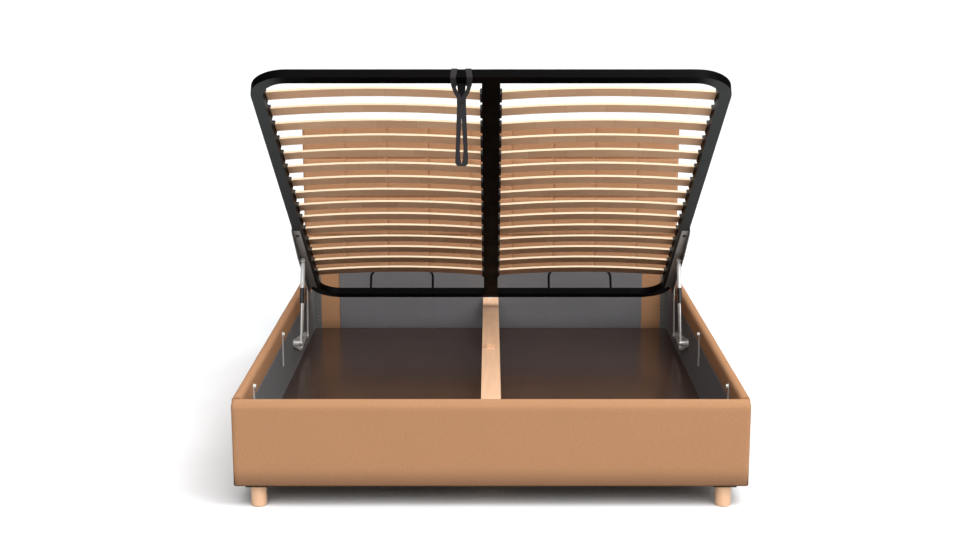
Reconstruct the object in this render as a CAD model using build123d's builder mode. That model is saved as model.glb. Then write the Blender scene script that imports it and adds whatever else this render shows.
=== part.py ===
# Upholstered storage bed with a slatted base that lifts on two side linkages.
# It is drawn with the lid raised on its open stop. Sizes are in millimetres.
# X runs across the bed, Y from the foot end to the head end and Z up.
# The origin lies on the floor under the middle of the whole bed.
from build123d import *
import math
import os

os.makedirs("parts", exist_ok=True)

# Driving sizes of the upholstered base
overall_width = 1686.0
rim_height = 372.0
leg_height = 76.0
inner_length = 2015.0
board_thickness = 18.0
rail_pad = 11.0
foot_pad = 14.0
inner_pad = 5.0
foot_inner_pad = 8.0
top_pad = 10.0
cover_outer_radius = 14.0
cover_inner_radius = 9.0
lining_top = 298.0
foot_corner_radius = 13.4

# Driving sizes of the headboard
headboard_overhang = 6.0
headboard_height = 1042.0
headboard_pad = 30.0
headboard_core = 38.0
headboard_back_pad = 12.0
headboard_radius = 16.0
headboard_back_radius = 8.0
tile_columns = 9
tile_height = 177.0
first_seam_height = 884.0
seam_rows = 3
channel_width = 46.0
channel_depth = 5.0
stitch_width = 8.0
stitch_depth = 5.0
head_lining_inset = 116.0
head_lining_thickness = 4.0

# Driving sizes of the storage floor and the centre board
floor_thickness = 10.0
floor_height = 98.0
cleat_width = 22.0
joist_width = 64.0
centre_board_width = 70.0
centre_board_thickness = 28.0
centre_board_top = 244.0
prop_length = 60.0
prop_width = 44.0
rest_block_width = 35.0
rest_block_length = 22.0
rest_block_from_foot = 1150.0
end_bracket_width = 22.0
end_bracket_leg = 16.0
end_bracket_steel = 2.5

# Driving sizes of the legs
leg_radius = 26.0
leg_side_inset = 78.0
leg_foot_setback = 46.0
leg_edge = 3.0
leg_plate_size = 76.0
leg_plate_steel = 3.0
centre_leg_radius = 20.0
centre_leg_count = 2

# Driving sizes of the sprung lid
lid_side_gap = 17.0
lid_foot_gap = 10.0
lid_head_gap = 15.0
lid_corner_radius = 130.0
tube_width = 40.0
tube_height = 30.0
tube_wall = 1.5
beam_width = 60.0
slat_rows = 15
slat_width = 53.0
slat_thickness = 8.0
slat_bow = 16.7
first_slat_from_foot = 196.0
last_slat_from_head = 200.8
slat_lift = 6.0
rows_per_set = 3
holder_length = 58.0
holder_inboard = 2.0
holder_outboard = 34.0
holder_height = 22.0
holder_beam_overhang = 7.0
slat_grip = 26.0
pocket_clearance = 0.3

# Driving sizes of the mattress retainers
hoop_rod_radius = 5.0
hoop_width = 276.0
hoop_height = 98.0
hoop_corner_radius = 34.0
hoop_centre = 397.0
hoop_tail = 6.0
hoop_clearance = 0.3

# Driving sizes of the lift strap
strap_place = -96.0
strap_band_width = 29.0
strap_end_width = 44.0
strap_end_radius = 13.0
strap_leg_width = 23.0
strap_leg_spread = 23.5
strap_bight_width = 18.0
strap_thickness = 3.0
strap_drop = 268.0
strap_neck_drop = 42.0
strap_slit_drop = 118.0
strap_slit_top_width = 2.0
strap_slit_width = 10.0
strap_slit_end = 8.0
strap_slack = 0.4

# Driving places of the lift linkage, from the head wall and the floor, and on the lid from its head end
lid_rest_height = 262.0
lid_open_angle = 33.63
rear_base_from_wall = 375.9
rear_base_height = 158.8
front_base_from_wall = 555.9
front_base_height = 152.3
spring_base_from_wall = 755.0
spring_base_height = 221.0
rear_pin_from_head = 168.8
rear_pin_below = 16.7
front_pin_from_head = 257.0
front_pin_below = 21.3
spring_pin_from_head = 489.0
spring_pin_below = 24.0
rear_link_open_angle = 80.42

# Driving sizes of the linkage's steel
flange_steel = 3.0
flange_width = 29.0
bracket_length = 654.0
bracket_from_head = 110.0
bracket_deep = 38.0
bracket_shallow = 14.0
bracket_rise = 24.0
bracket_step_length = 214.0
bracket_end_radius = 12.0
link_steel = 3.5
link_end_radius = 13.0
base_plate_steel = 4.0
base_plate_edge = 15.0
layer_gap = 0.8
pin_radius = 4.0
pin_head_radius = 7.0
pin_head_height = 2.5
pin_clearance = 0.1
boss_radius = 11.0
boss_gap = 0.3
screw_head_radius = 6.0
screw_spread_share = 0.28
lid_bolt_radius = 7.0
lid_bolt_sides = 6
lid_bolt_height = 4.0
foot_bolt_inset = 60.0
head_bolt_inset = 18.0
spring_from_edge = 12.0
spring_tube_radius = 9.0
spring_tube_length = 168.0
spring_wall = 1.6
spring_rod_radius = 4.0
spring_rod_clearance = 0.4
spring_eye_radius = 11.0
spring_eye_width = 11.0
spring_cap_length = 8.0
spring_rod_length = 201.0
spring_neck_radius = 5.5

# Driving sizes of the corner angles and the side guides
angle_leg = 30.0
angle_steel = 2.5
angle_rise = 247.0
punch_radius = 3.2
punch_pitch = 19.0
guide_width = 20.0
guide_steel = 2.5
guide_bottom = 212.0
guide_top = 338.0
guide_tip_radius = 8.0
guide_tip_reach = 9.0
guide_from_foot = (272.0, 987.0)

# Named overrun for cuts
overrun = 2.0

# Places worked out from the driving sizes
half_width = overall_width / 2
rail_thickness = rail_pad + board_thickness + inner_pad
foot_thickness = foot_pad + board_thickness + foot_inner_pad
headboard_thickness = headboard_pad + headboard_core + headboard_back_pad
overall_length = foot_thickness + inner_length + headboard_thickness
wall_x = half_width - rail_thickness
lid_width = 2 * (wall_x - lid_side_gap)
headboard_width = overall_width + 2 * headboard_overhang
head_lining_width = 2 * (wall_x - head_lining_inset)
foot_front_y = -overall_length / 2
foot_wall_y = foot_front_y + foot_thickness
head_wall_y = foot_wall_y + inner_length
base_bottom = leg_height
rail_height = rim_height - base_bottom
lid_edge_x = lid_width / 2
lid_length = inner_length - lid_foot_gap - lid_head_gap
slat_pitch = (lid_length - first_slat_from_foot - last_slat_from_head) / (slat_rows - 1)
middle_y = (foot_wall_y + head_wall_y) / 2
mirror_sides = (("left", -1), ("right", 1))


def turned(point, angle):
    """Turn a (y, z) pair about the origin by an angle in degrees."""
    c = math.cos(math.radians(angle))
    s = math.sin(math.radians(angle))
    return (point[0] * c - point[1] * s, point[0] * s + point[1] * c)


def gap_between(a, b):
    """Distance between two (y, z) points."""
    return math.hypot(b[0] - a[0], b[1] - a[1])


def heading(a, b):
    """Angle in degrees of the line from a to b, from +Y towards +Z."""
    return math.degrees(math.atan2(b[1] - a[1], b[0] - a[0]))


# Linkage worked out from the shut lid and the two open angles
rear_base = (head_wall_y - rear_base_from_wall, rear_base_height)
front_base = (head_wall_y - front_base_from_wall, front_base_height)
spring_base = (head_wall_y - spring_base_from_wall, spring_base_height)
rear_pin_along = lid_length - rear_pin_from_head
front_pin_along = lid_length - front_pin_from_head
spring_pin_along = lid_length - spring_pin_from_head
shut_lid = (foot_wall_y + lid_foot_gap, lid_rest_height)
rear_pin_shut = (shut_lid[0] + rear_pin_along, shut_lid[1] - rear_pin_below)
rear_link_length = gap_between(rear_base, rear_pin_shut)
rear_pin = (
    rear_base[0] + rear_link_length * math.cos(math.radians(rear_link_open_angle)),
    rear_base[1] + rear_link_length * math.sin(math.radians(rear_link_open_angle)),
)
from_lid_corner = turned((rear_pin_along, -rear_pin_below), -lid_open_angle)
lid_foot_y = rear_pin[0] - from_lid_corner[0]
lid_foot_z = rear_pin[1] - from_lid_corner[1]
lid_plane = Plane(
    origin=(0, lid_foot_y, lid_foot_z),
    x_dir=(1, 0, 0),
    z_dir=(0, math.sin(math.radians(lid_open_angle)), math.cos(math.radians(lid_open_angle))),
)


def on_lid(along, above):
    """World (y, z) of a lid point in the drawn, open place."""
    step = turned((along, above), -lid_open_angle)
    return (lid_foot_y + step[0], lid_foot_z + step[1])


def on_shut_lid(along, above):
    """World (y, z) of the same lid point with the lid shut."""
    return (shut_lid[0] + along, shut_lid[1] + above)


front_pin = on_lid(front_pin_along, -front_pin_below)
front_pin_shut = on_shut_lid(front_pin_along, -front_pin_below)
spring_pin = on_lid(spring_pin_along, -spring_pin_below)
spring_pin_shut = on_shut_lid(spring_pin_along, -spring_pin_below)
front_link_length = gap_between(front_base, front_pin)
spring_length = gap_between(spring_base, spring_pin)
spring_length_shut = gap_between(spring_base, spring_pin_shut)

# Sideways layers of the linkage, from the lid's edge out to the side wall
flange_outer_x = lid_edge_x + flange_steel
plate_inner_x = wall_x - base_plate_steel
front_link_outer_x = plate_inner_x - layer_gap
front_link_inner_x = front_link_outer_x - link_steel
rear_link_outer_x = front_link_inner_x - layer_gap
rear_link_inner_x = rear_link_outer_x - link_steel
spring_x = lid_edge_x - spring_from_edge


def side_plane(side, distance):
    """Plane across X whose local x is world +Y and local y is world +Z, facing +X."""
    return Plane(origin=(side * distance, 0, 0), x_dir=(0, 1, 0), z_dir=(1, 0, 0))


def save(builder, name):
    """Label a finished piece and write its file."""
    builder.part.label = name
    export_step(builder.part, "parts/" + name + ".step")


# Foot panel: a chipboard core, a padded fabric wrap and a dark lining inside
foot_board_height = rail_height - top_pad
foot_board_length = overall_width - 2 * rail_pad
foot_board_y = foot_front_y + foot_pad + board_thickness / 2
with BuildPart() as foot_board:
    with BuildSketch(Plane.XY.offset(base_bottom)):
        with Locations((0, foot_board_y)):
            Rectangle(foot_board_length, board_thickness)
    extrude(amount=foot_board_height)
save(foot_board, "foot_board")

with BuildPart() as foot_cover:
    with BuildSketch(Plane.XY.offset(base_bottom)):
        with Locations((0, foot_front_y + foot_thickness / 2)):
            Rectangle(overall_width, foot_thickness)
    extrude(amount=rail_height)
    fillet(foot_cover.edges().filter_by(Axis.Z).group_by(Axis.Y)[0], radius=foot_corner_radius)
    top_edges = foot_cover.faces().sort_by(Axis.Z)[-1].edges()
    front_top = top_edges.sort_by(Axis.Y)[:-1]
    fillet(front_top, radius=cover_inner_radius)
    with BuildSketch(Plane.XY.offset(base_bottom)):
        with Locations((0, foot_board_y)):
            Rectangle(foot_board_length, board_thickness)
    extrude(amount=foot_board_height, mode=Mode.SUBTRACT)
    with BuildSketch(Plane.XY.offset(base_bottom)):
        with Locations((0, foot_wall_y - foot_inner_pad / 2)):
            Rectangle(2 * wall_x, foot_inner_pad)
    extrude(amount=lining_top - base_bottom, mode=Mode.SUBTRACT)
save(foot_cover, "foot_cover")

with BuildPart() as foot_lining:
    with BuildSketch(Plane.XY.offset(base_bottom)):
        with Locations((0, foot_wall_y - foot_inner_pad / 2)):
            Rectangle(2 * wall_x, foot_inner_pad)
    extrude(amount=lining_top - base_bottom)
save(foot_lining, "foot_lining")

# Side rails: the same build as the foot panel, between it and the headboard
rail_board_x = half_width - rail_pad - board_thickness / 2
for side_name, side in mirror_sides:
    with BuildPart() as side_board:
        with BuildSketch(Plane.XY.offset(base_bottom)):
            with Locations((side * rail_board_x, middle_y)):
                Rectangle(board_thickness, inner_length)
        extrude(amount=foot_board_height)
    save(side_board, "side_board_" + side_name)

    with BuildPart() as side_cover:
        with BuildSketch(Plane.XY.offset(base_bottom)):
            with Locations((side * (half_width - rail_thickness / 2), middle_y)):
                Rectangle(rail_thickness, inner_length)
        extrude(amount=rail_height)
        rail_top = side_cover.faces().sort_by(Axis.Z)[-1].edges().filter_by(Axis.Y).sort_by(Axis.X)
        fillet(rail_top[0] if side < 0 else rail_top[-1], radius=cover_outer_radius)
        rail_top = side_cover.edges().filter_by(Axis.Y).group_by(Axis.Z)[-1].sort_by(Axis.X)
        fillet(rail_top[-1] if side < 0 else rail_top[0], radius=cover_inner_radius)
        with BuildSketch(Plane.XY.offset(base_bottom)):
            with Locations((side * rail_board_x, middle_y)):
                Rectangle(board_thickness, inner_length)
        extrude(amount=foot_board_height, mode=Mode.SUBTRACT)
        with BuildSketch(Plane.XY.offset(base_bottom)):
            with Locations((side * (wall_x + inner_pad / 2), middle_y)):
                Rectangle(inner_pad, inner_length)
        extrude(amount=lining_top - base_bottom, mode=Mode.SUBTRACT)
    save(side_cover, "side_cover_" + side_name)

    with BuildPart() as side_lining:
        with BuildSketch(Plane.XY.offset(base_bottom)):
            with Locations((side * (wall_x + inner_pad / 2), middle_y)):
                Rectangle(inner_pad, inner_length)
        extrude(amount=lining_top - base_bottom)
    save(side_lining, "side_lining_" + side_name)

# Headboard: a core, a front pad stitched into square tiles and a thin back
headboard_rise = headboard_height - base_bottom
core_width = headboard_width - 2 * headboard_back_pad
core_rise = headboard_rise - headboard_back_pad
core_y = head_wall_y + headboard_pad
with BuildPart() as headboard_board:
    with BuildSketch(Plane.XY.offset(base_bottom)):
        with Locations((0, core_y + headboard_core / 2)):
            Rectangle(core_width, headboard_core)
    extrude(amount=core_rise)
save(headboard_board, "headboard_core")

tile_width = headboard_width / tile_columns


# Section of one stitched channel, cut towards local -y: a shallow fall and a narrow stitch line
channel_section = (
    (-channel_width / 2, overrun),
    (-channel_width / 2, 0),
    (-stitch_width / 2, -channel_depth),
    (0, -channel_depth - stitch_depth),
    (stitch_width / 2, -channel_depth),
    (channel_width / 2, 0),
    (channel_width / 2, overrun),
)

with BuildPart() as headboard_cover:
    with BuildSketch(Plane.XY.offset(base_bottom)):
        with Locations((0, head_wall_y + headboard_pad / 2)):
            Rectangle(headboard_width, headboard_pad)
    extrude(amount=headboard_rise)
    front_edges = headboard_cover.faces().sort_by(Axis.Y)[0].edges()
    fillet(front_edges.sort_by(Axis.Z)[1:], radius=headboard_radius)
    for column in range(1, tile_columns):
        seam_x = -headboard_width / 2 + column * tile_width
        with BuildSketch(
            Plane(origin=(seam_x, head_wall_y, headboard_height), x_dir=(1, 0, 0), z_dir=(0, 0, -1))
        ):
            with BuildLine():
                Polyline(*channel_section, close=True)
            make_face()
        extrude(amount=headboard_height - rim_height, mode=Mode.SUBTRACT)
    for row in range(seam_rows):
        seam_z = first_seam_height - row * tile_height
        with BuildSketch(
            Plane(origin=(-headboard_width / 2, head_wall_y, seam_z), x_dir=(0, 0, 1), z_dir=(1, 0, 0))
        ):
            with BuildLine():
                Polyline(*channel_section, close=True)
            make_face()
        extrude(amount=headboard_width, mode=Mode.SUBTRACT)
save(headboard_cover, "headboard_cover")

with BuildPart() as headboard_back:
    with BuildSketch(Plane.XY.offset(base_bottom)):
        with Locations((0, core_y + (headboard_core + headboard_back_pad) / 2)):
            Rectangle(headboard_width, headboard_core + headboard_back_pad)
    extrude(amount=headboard_rise)
    back_edges = headboard_back.faces().sort_by(Axis.Y)[-1].edges()
    fillet(back_edges.sort_by(Axis.Z)[1:], radius=headboard_back_radius)
    with BuildSketch(Plane.XY.offset(base_bottom)):
        with Locations((0, core_y + headboard_core / 2)):
            Rectangle(core_width, headboard_core)
    extrude(amount=core_rise, mode=Mode.SUBTRACT)
save(headboard_back, "headboard_back")

with BuildPart() as head_lining:
    with BuildSketch(Plane.XY.offset(floor_height)):
        with Locations((0, head_wall_y - head_lining_thickness / 2)):
            Rectangle(head_lining_width, head_lining_thickness)
    extrude(amount=rim_height - floor_height)
save(head_lining, "head_lining")

# Storage floor: two panels on cleats and a centre joist
floor_bottom = floor_height - floor_thickness
for side_name, side in mirror_sides:
    with BuildPart() as floor_panel:
        with BuildSketch(Plane.XY.offset(floor_bottom)):
            with Locations((side * wall_x / 2, middle_y)):
                Rectangle(wall_x, inner_length)
        extrude(amount=floor_thickness)
    save(floor_panel, "floor_panel_" + side_name)

with BuildPart() as floor_cleats:
    with BuildSketch(Plane.XY.offset(base_bottom)):
        with Locations(
            (-wall_x + cleat_width / 2, middle_y),
            (wall_x - cleat_width / 2, middle_y),
        ):
            Rectangle(cleat_width, inner_length)
        for cleat_y in (foot_wall_y + cleat_width / 2, head_wall_y - cleat_width / 2):
            with Locations(
                (-(wall_x + joist_width / 2 - cleat_width) / 2, cleat_y),
                ((wall_x + joist_width / 2 - cleat_width) / 2, cleat_y),
            ):
                Rectangle(wall_x - joist_width / 2 - cleat_width, cleat_width)
    extrude(amount=floor_bottom - base_bottom)
save(floor_cleats, "floor_cleats")

with BuildPart() as floor_joist:
    with BuildSketch(Plane.XY.offset(base_bottom)):
        with Locations((0, middle_y)):
            Rectangle(joist_width, inner_length)
    extrude(amount=floor_bottom - base_bottom)
save(floor_joist, "floor_joist")

# Centre board: a beech plank from foot panel to head wall, with a prop, a rest block and end brackets
board_bottom = centre_board_top - centre_board_thickness
centre_board_length = inner_length - head_lining_thickness
centre_board_y = foot_wall_y + centre_board_length / 2
with BuildPart() as centre_board:
    with BuildSketch(Plane.XY.offset(board_bottom)):
        with Locations((0, centre_board_y)):
            Rectangle(centre_board_width, centre_board_length)
    extrude(amount=centre_board_thickness)
save(centre_board, "centre_board")

with BuildPart() as centre_prop:
    with BuildSketch(Plane.XY.offset(floor_height)):
        with Locations((0, middle_y)):
            Rectangle(prop_width, prop_length)
    extrude(amount=board_bottom - floor_height)
save(centre_prop, "centre_prop")

with BuildPart() as rest_block:
    with BuildSketch(Plane.XY.offset(centre_board_top)):
        with Locations((0, foot_front_y + rest_block_from_foot)):
            Rectangle(rest_block_width, rest_block_length)
    extrude(amount=lid_rest_height - boss_gap - centre_board_top)
save(rest_block, "rest_block")

with BuildPart() as board_end_brackets:
    for end_y, way in ((foot_wall_y, 1), (head_wall_y - head_lining_thickness, -1)):
        with BuildSketch(Plane.YZ.offset(-end_bracket_width / 2)):
            with BuildLine():
                Polyline(
                    (end_y, centre_board_top),
                    (end_y + way * end_bracket_leg, centre_board_top),
                    (end_y + way * end_bracket_leg, centre_board_top + end_bracket_steel),
                    (end_y + way * end_bracket_steel, centre_board_top + end_bracket_steel),
                    (end_y + way * end_bracket_steel, centre_board_top + end_bracket_leg),
                    (end_y, centre_board_top + end_bracket_leg),
                    close=True,
                )
            make_face()
        extrude(amount=end_bracket_width)
save(board_end_brackets, "board_end_brackets")

# Legs: four turned beech legs under the corners and plain ones under the joist
leg_x = half_width - leg_side_inset
foot_leg_y = foot_front_y + leg_foot_setback
head_leg_y = head_wall_y + headboard_thickness - leg_foot_setback
leg_places = (
    ("foot_leg_left", -leg_x, foot_leg_y),
    ("foot_leg_right", leg_x, foot_leg_y),
    ("head_leg_left", -leg_x, head_leg_y),
    ("head_leg_right", leg_x, head_leg_y),
)
leg_length = leg_height - leg_plate_steel
for leg_name, at_x, at_y in leg_places:
    with BuildPart() as leg:
        with BuildSketch(Plane.XY):
            with Locations((at_x, at_y)):
                Circle(leg_radius)
        extrude(amount=leg_length)
        chamfer(leg.faces().sort_by(Axis.Z)[0].edges(), length=leg_edge)
    save(leg, leg_name)

centre_leg_pitch = inner_length / (centre_leg_count + 1)
centre_leg_places = [(0, foot_wall_y + (k + 1) * centre_leg_pitch) for k in range(centre_leg_count)]
with BuildPart() as centre_legs:
    with BuildSketch(Plane.XY):
        with Locations(*centre_leg_places):
            Circle(centre_leg_radius)
    extrude(amount=leg_length)
save(centre_legs, "centre_legs")

plate_places = [(at_x, at_y) for _, at_x, at_y in leg_places] + centre_leg_places
with BuildPart() as leg_plates:
    with BuildSketch(Plane.XY.offset(leg_length)):
        with Locations(*plate_places):
            RectangleRounded(leg_plate_size, leg_plate_size, leg_edge)
    extrude(amount=leg_plate_steel)
save(leg_plates, "leg_plates")

# Perforated steel angles in the four inner corners
punch_count = int((angle_rise - punch_pitch) / punch_pitch)
for end_name, end_y, way in (("foot", foot_wall_y, 1), ("head", head_wall_y, -1)):
    with BuildPart() as corner_angles:
        for _, side in mirror_sides:
            with BuildSketch(Plane.XY.offset(floor_height)):
                with BuildLine():
                    Polyline(
                        (side * wall_x, end_y),
                        (side * (wall_x - angle_leg), end_y),
                        (side * (wall_x - angle_leg), end_y + way * angle_steel),
                        (side * (wall_x - angle_steel), end_y + way * angle_steel),
                        (side * (wall_x - angle_steel), end_y + way * angle_leg),
                        (side * wall_x, end_y + way * angle_leg),
                        close=True,
                    )
                make_face()
            extrude(amount=angle_rise)
        punch_z = [floor_height + punch_pitch * (k + 1) for k in range(punch_count)]
        for _, side in mirror_sides:
            hole_x = side * (wall_x - (angle_leg + angle_steel) / 2)
            with BuildSketch(Plane.XZ.offset(-end_y - way * (angle_steel + overrun))):
                with Locations(*[(hole_x, z) for z in punch_z]):
                    Circle(punch_radius)
            extrude(amount=way * (angle_steel + 2 * overrun), mode=Mode.SUBTRACT)
            hole_y = end_y + way * (angle_leg + angle_steel) / 2
            with BuildSketch(side_plane(side, wall_x - angle_steel - overrun)):
                with Locations(*[(hole_y, z) for z in punch_z]):
                    Circle(punch_radius)
            extrude(amount=side * (angle_steel + 2 * overrun), mode=Mode.SUBTRACT)
    save(corner_angles, "corner_angles_" + end_name)

# Perforated side guides, each with a round tip that keeps the lid off the fabric
guide_punches = int((guide_top - guide_bottom) / punch_pitch) - 1
for side_name, side in mirror_sides:
    with BuildPart() as side_guides:
        for from_foot in guide_from_foot:
            guide_y = foot_front_y + from_foot
            with BuildSketch(side_plane(side, wall_x)):
                with Locations((guide_y, (guide_bottom + guide_top) / 2)):
                    Rectangle(guide_width, guide_top - guide_bottom)
                with Locations((guide_y, guide_top)):
                    Circle(guide_width / 2)
                with Locations(
                    *[(guide_y, guide_bottom + punch_pitch * (k + 1)) for k in range(guide_punches)]
                ):
                    Circle(punch_radius, mode=Mode.SUBTRACT)
            extrude(amount=-side * guide_steel)
            with BuildSketch(side_plane(side, wall_x - guide_steel)):
                with Locations((guide_y, guide_top)):
                    Circle(guide_tip_radius)
            extrude(amount=-side * (guide_tip_reach - guide_steel))
    save(side_guides, "side_guides_" + side_name)

# Lid frame: a ring of rectangular tube with round corners
inner_corner_radius = lid_corner_radius - tube_width
lid_middle = lid_length / 2
hoop_along = lid_length - tube_width / 2
hoop_feet = [
    (side * hoop_centre + leg * hoop_width / 2, hoop_along) for _, side in mirror_sides for leg in (-1, 1)
]
with BuildPart() as lid_frame:
    with BuildSketch(lid_plane):
        with Locations((0, lid_middle)):
            RectangleRounded(lid_width, lid_length, lid_corner_radius)
            RectangleRounded(
                lid_width - 2 * tube_width, lid_length - 2 * tube_width, inner_corner_radius, mode=Mode.SUBTRACT
            )
    extrude(amount=tube_height)
    with BuildSketch(lid_plane.offset(tube_wall)):
        with Locations((0, lid_middle)):
            RectangleRounded(
                lid_width - 2 * tube_wall, lid_length - 2 * tube_wall, lid_corner_radius - tube_wall
            )
            RectangleRounded(
                lid_width - 2 * (tube_width - tube_wall),
                lid_length - 2 * (tube_width - tube_wall),
                inner_corner_radius + tube_wall,
                mode=Mode.SUBTRACT,
            )
    extrude(amount=tube_height - 2 * tube_wall, mode=Mode.SUBTRACT)
    with BuildSketch(lid_plane.offset(-overrun)):
        with Locations(*hoop_feet):
            Circle(hoop_rod_radius + hoop_clearance)
    extrude(amount=tube_height + 2 * overrun, mode=Mode.SUBTRACT)
save(lid_frame, "lid_frame")

beam_length = lid_length - 2 * tube_width
with BuildPart() as centre_beam:
    with BuildSketch(lid_plane):
        with Locations((0, lid_middle)):
            Rectangle(beam_width, beam_length)
    extrude(amount=tube_height)
    with BuildSketch(lid_plane.offset(tube_wall)):
        with Locations((0, lid_middle)):
            Rectangle(beam_width - 2 * tube_wall, beam_length)
    extrude(amount=tube_height - 2 * tube_wall, mode=Mode.SUBTRACT)
save(centre_beam, "centre_beam")

# Sprung slats: two bowed slats in each row, kept in holders on the side tubes and the centre beam
side_holder_inner = lid_edge_x - tube_width - holder_inboard
side_holder_outer = lid_edge_x - tube_width + holder_outboard
centre_holder_half = beam_width / 2 + holder_beam_overhang
slat_outer_x = side_holder_inner + slat_grip
slat_inner_x = centre_holder_half - slat_grip
slat_span = slat_outer_x - slat_inner_x
slat_middle_x = (slat_outer_x + slat_inner_x) / 2
slat_floor = tube_height + slat_lift
row_places = [first_slat_from_foot + row * slat_pitch for row in range(slat_rows)]
slat_sets = math.ceil(slat_rows / rows_per_set)


def row_plane(along):
    """Plane across the lid at one row: local x is world X, local y is up from the lid."""
    edge_y, edge_z = on_lid(along, 0)
    return Plane(origin=(0, edge_y, edge_z), x_dir=(1, 0, 0), z_dir=-lid_plane.y_dir)


for set_number in range(slat_sets):
    with BuildPart() as slat_set:
        for along in row_places[set_number * rows_per_set:(set_number + 1) * rows_per_set]:
            for _, side in mirror_sides:
                with BuildSketch(row_plane(along + slat_width / 2)):
                    with BuildLine():
                        low = ThreePointArc(
                            (side * slat_inner_x, slat_floor),
                            (side * slat_middle_x, slat_floor + slat_bow),
                            (side * slat_outer_x, slat_floor),
                        )
                        Line(low @ 1, (side * slat_outer_x, slat_floor + slat_thickness))
                        high = ThreePointArc(
                            (side * slat_outer_x, slat_floor + slat_thickness),
                            (side * slat_middle_x, slat_floor + slat_bow + slat_thickness),
                            (side * slat_inner_x, slat_floor + slat_thickness),
                        )
                        Line(high @ 1, low @ 0)
                    make_face()
                extrude(amount=slat_width)
    save(slat_set, "slat_set_" + str(set_number + 1))

# Holders: blocks with a pocket for each slat end, tall enough for the slat's slope
end_slope_rise = 4 * slat_bow / slat_span * slat_grip
pocket_height = slat_thickness + end_slope_rise + 2 * pocket_clearance
pocket_width = slat_width + 2 * pocket_clearance
pocket_floor = slat_floor - pocket_clearance
pocket_depth = slat_grip + pocket_clearance


def pocket_places(side, near_x):
    """Centres of the pockets of one column of holders."""
    return [(side * near_x, along) for along in row_places]


for side_name, side in mirror_sides:
    with BuildPart() as slat_holders:
        with BuildSketch(lid_plane.offset(tube_height)):
            with Locations(*pocket_places(side, (side_holder_inner + side_holder_outer) / 2)):
                Rectangle(side_holder_outer - side_holder_inner, holder_length)
        extrude(amount=holder_height)
        with BuildSketch(lid_plane.offset(pocket_floor)):
            with Locations(*pocket_places(side, side_holder_inner + (pocket_depth - overrun) / 2)):
                Rectangle(pocket_depth + overrun, pocket_width)
        extrude(amount=pocket_height, mode=Mode.SUBTRACT)
    save(slat_holders, "slat_holders_" + side_name)

with BuildPart() as centre_holders:
    with BuildSketch(lid_plane.offset(tube_height)):
        with Locations(*[(0, along) for along in row_places]):
            Rectangle(2 * centre_holder_half, holder_length)
    extrude(amount=holder_height)
    for _, side in mirror_sides:
        with BuildSketch(lid_plane.offset(pocket_floor)):
            with Locations(*pocket_places(side, centre_holder_half - (pocket_depth - overrun) / 2)):
                Rectangle(pocket_depth + overrun, pocket_width)
        extrude(amount=pocket_height, mode=Mode.SUBTRACT)
save(centre_holders, "slat_holders_centre")

# Mattress retainers: bent rods that stand through the head-end tube
for side_name, side in mirror_sides:
    edge_y, edge_z = on_lid(hoop_along, 0)
    hoop_plane = Plane(origin=(0, edge_y, edge_z), x_dir=(1, 0, 0), z_dir=-lid_plane.y_dir)
    near_x = side * hoop_centre - hoop_width / 2
    far_x = side * hoop_centre + hoop_width / 2
    hoop_top = tube_height + hoop_height - hoop_rod_radius
    with BuildPart() as hoop:
        with BuildLine(hoop_plane):
            FilletPolyline(
                (near_x, -hoop_tail),
                (near_x, hoop_top),
                (far_x, hoop_top),
                (far_x, -hoop_tail),
                radius=hoop_corner_radius,
            )
        with BuildSketch(lid_plane.offset(-hoop_tail)):
            with Locations((near_x, hoop_along)):
                Circle(hoop_rod_radius)
        sweep()
    save(hoop, "mattress_hoop_" + side_name)

# Lift strap: two legs over the foot tube, drawn into a neck, and a hanging loop of webbing
# It hangs plumb from the tube's lower corner, with the bight between the legs
ring_low = -strap_slack - strap_thickness
leg_near = strap_leg_spread - strap_leg_width / 2
leg_far = strap_leg_spread + strap_leg_width / 2
half_band = strap_band_width / 2
half_end = strap_end_width / 2
half_bight = strap_bight_width / 2
slit_low = strap_drop - strap_slit_end
with BuildPart() as lift_strap:
    for leg in (-1, 1):
        with BuildSketch(
            Plane(
                origin=(strap_place + leg * strap_leg_spread - strap_leg_width / 2, lid_foot_y, lid_foot_z),
                x_dir=lid_plane.y_dir,
                # Local x runs along the lid and local y up from it
                z_dir=(1, 0, 0),
            )
        ):
            with Locations((tube_width / 2, tube_height / 2)):
                RectangleRounded(
                    tube_width + 2 * (strap_slack + strap_thickness),
                    tube_height + 2 * (strap_slack + strap_thickness),
                    strap_thickness,
                )
                Rectangle(tube_width + 2 * strap_slack, tube_height + 2 * strap_slack, mode=Mode.SUBTRACT)
        extrude(amount=strap_leg_width)
    tail_y, tail_z = on_lid(tube_width - strap_thickness, ring_low)
    tail_top = tail_z + strap_thickness / 2
    with BuildSketch(
        Plane(origin=(strap_place, tail_y + strap_thickness / 2, tail_top), x_dir=(1, 0, 0), z_dir=(0, -1, 0))
    ) as strap_outline:
        with BuildLine():
            Polyline(
                (-half_bight, 0),
                (half_bight, 0),
                (half_band, -strap_neck_drop),
                (half_end, -strap_drop),
                (-half_end, -strap_drop),
                (-half_band, -strap_neck_drop),
                close=True,
            )
        make_face()
        fillet(strap_outline.vertices().group_by(Axis.Y)[0], radius=strap_end_radius)
        with BuildLine():
            Polyline(
                (-strap_slit_top_width / 2, -strap_slit_drop),
                (strap_slit_top_width / 2, -strap_slit_drop),
                (strap_slit_width / 2, -slit_low),
                (-strap_slit_width / 2, -slit_low),
                close=True,
            )
        make_face(mode=Mode.SUBTRACT)
        for leg in (-1, 1):
            with BuildLine():
                Polyline(
                    (leg * leg_near, 0),
                    (leg * leg_far, 0),
                    (leg * half_band, -strap_neck_drop),
                    (leg * half_bight, -strap_neck_drop),
                    close=True,
                )
            make_face()
    extrude(amount=strap_thickness)
save(lift_strap, "lift_strap")

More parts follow.
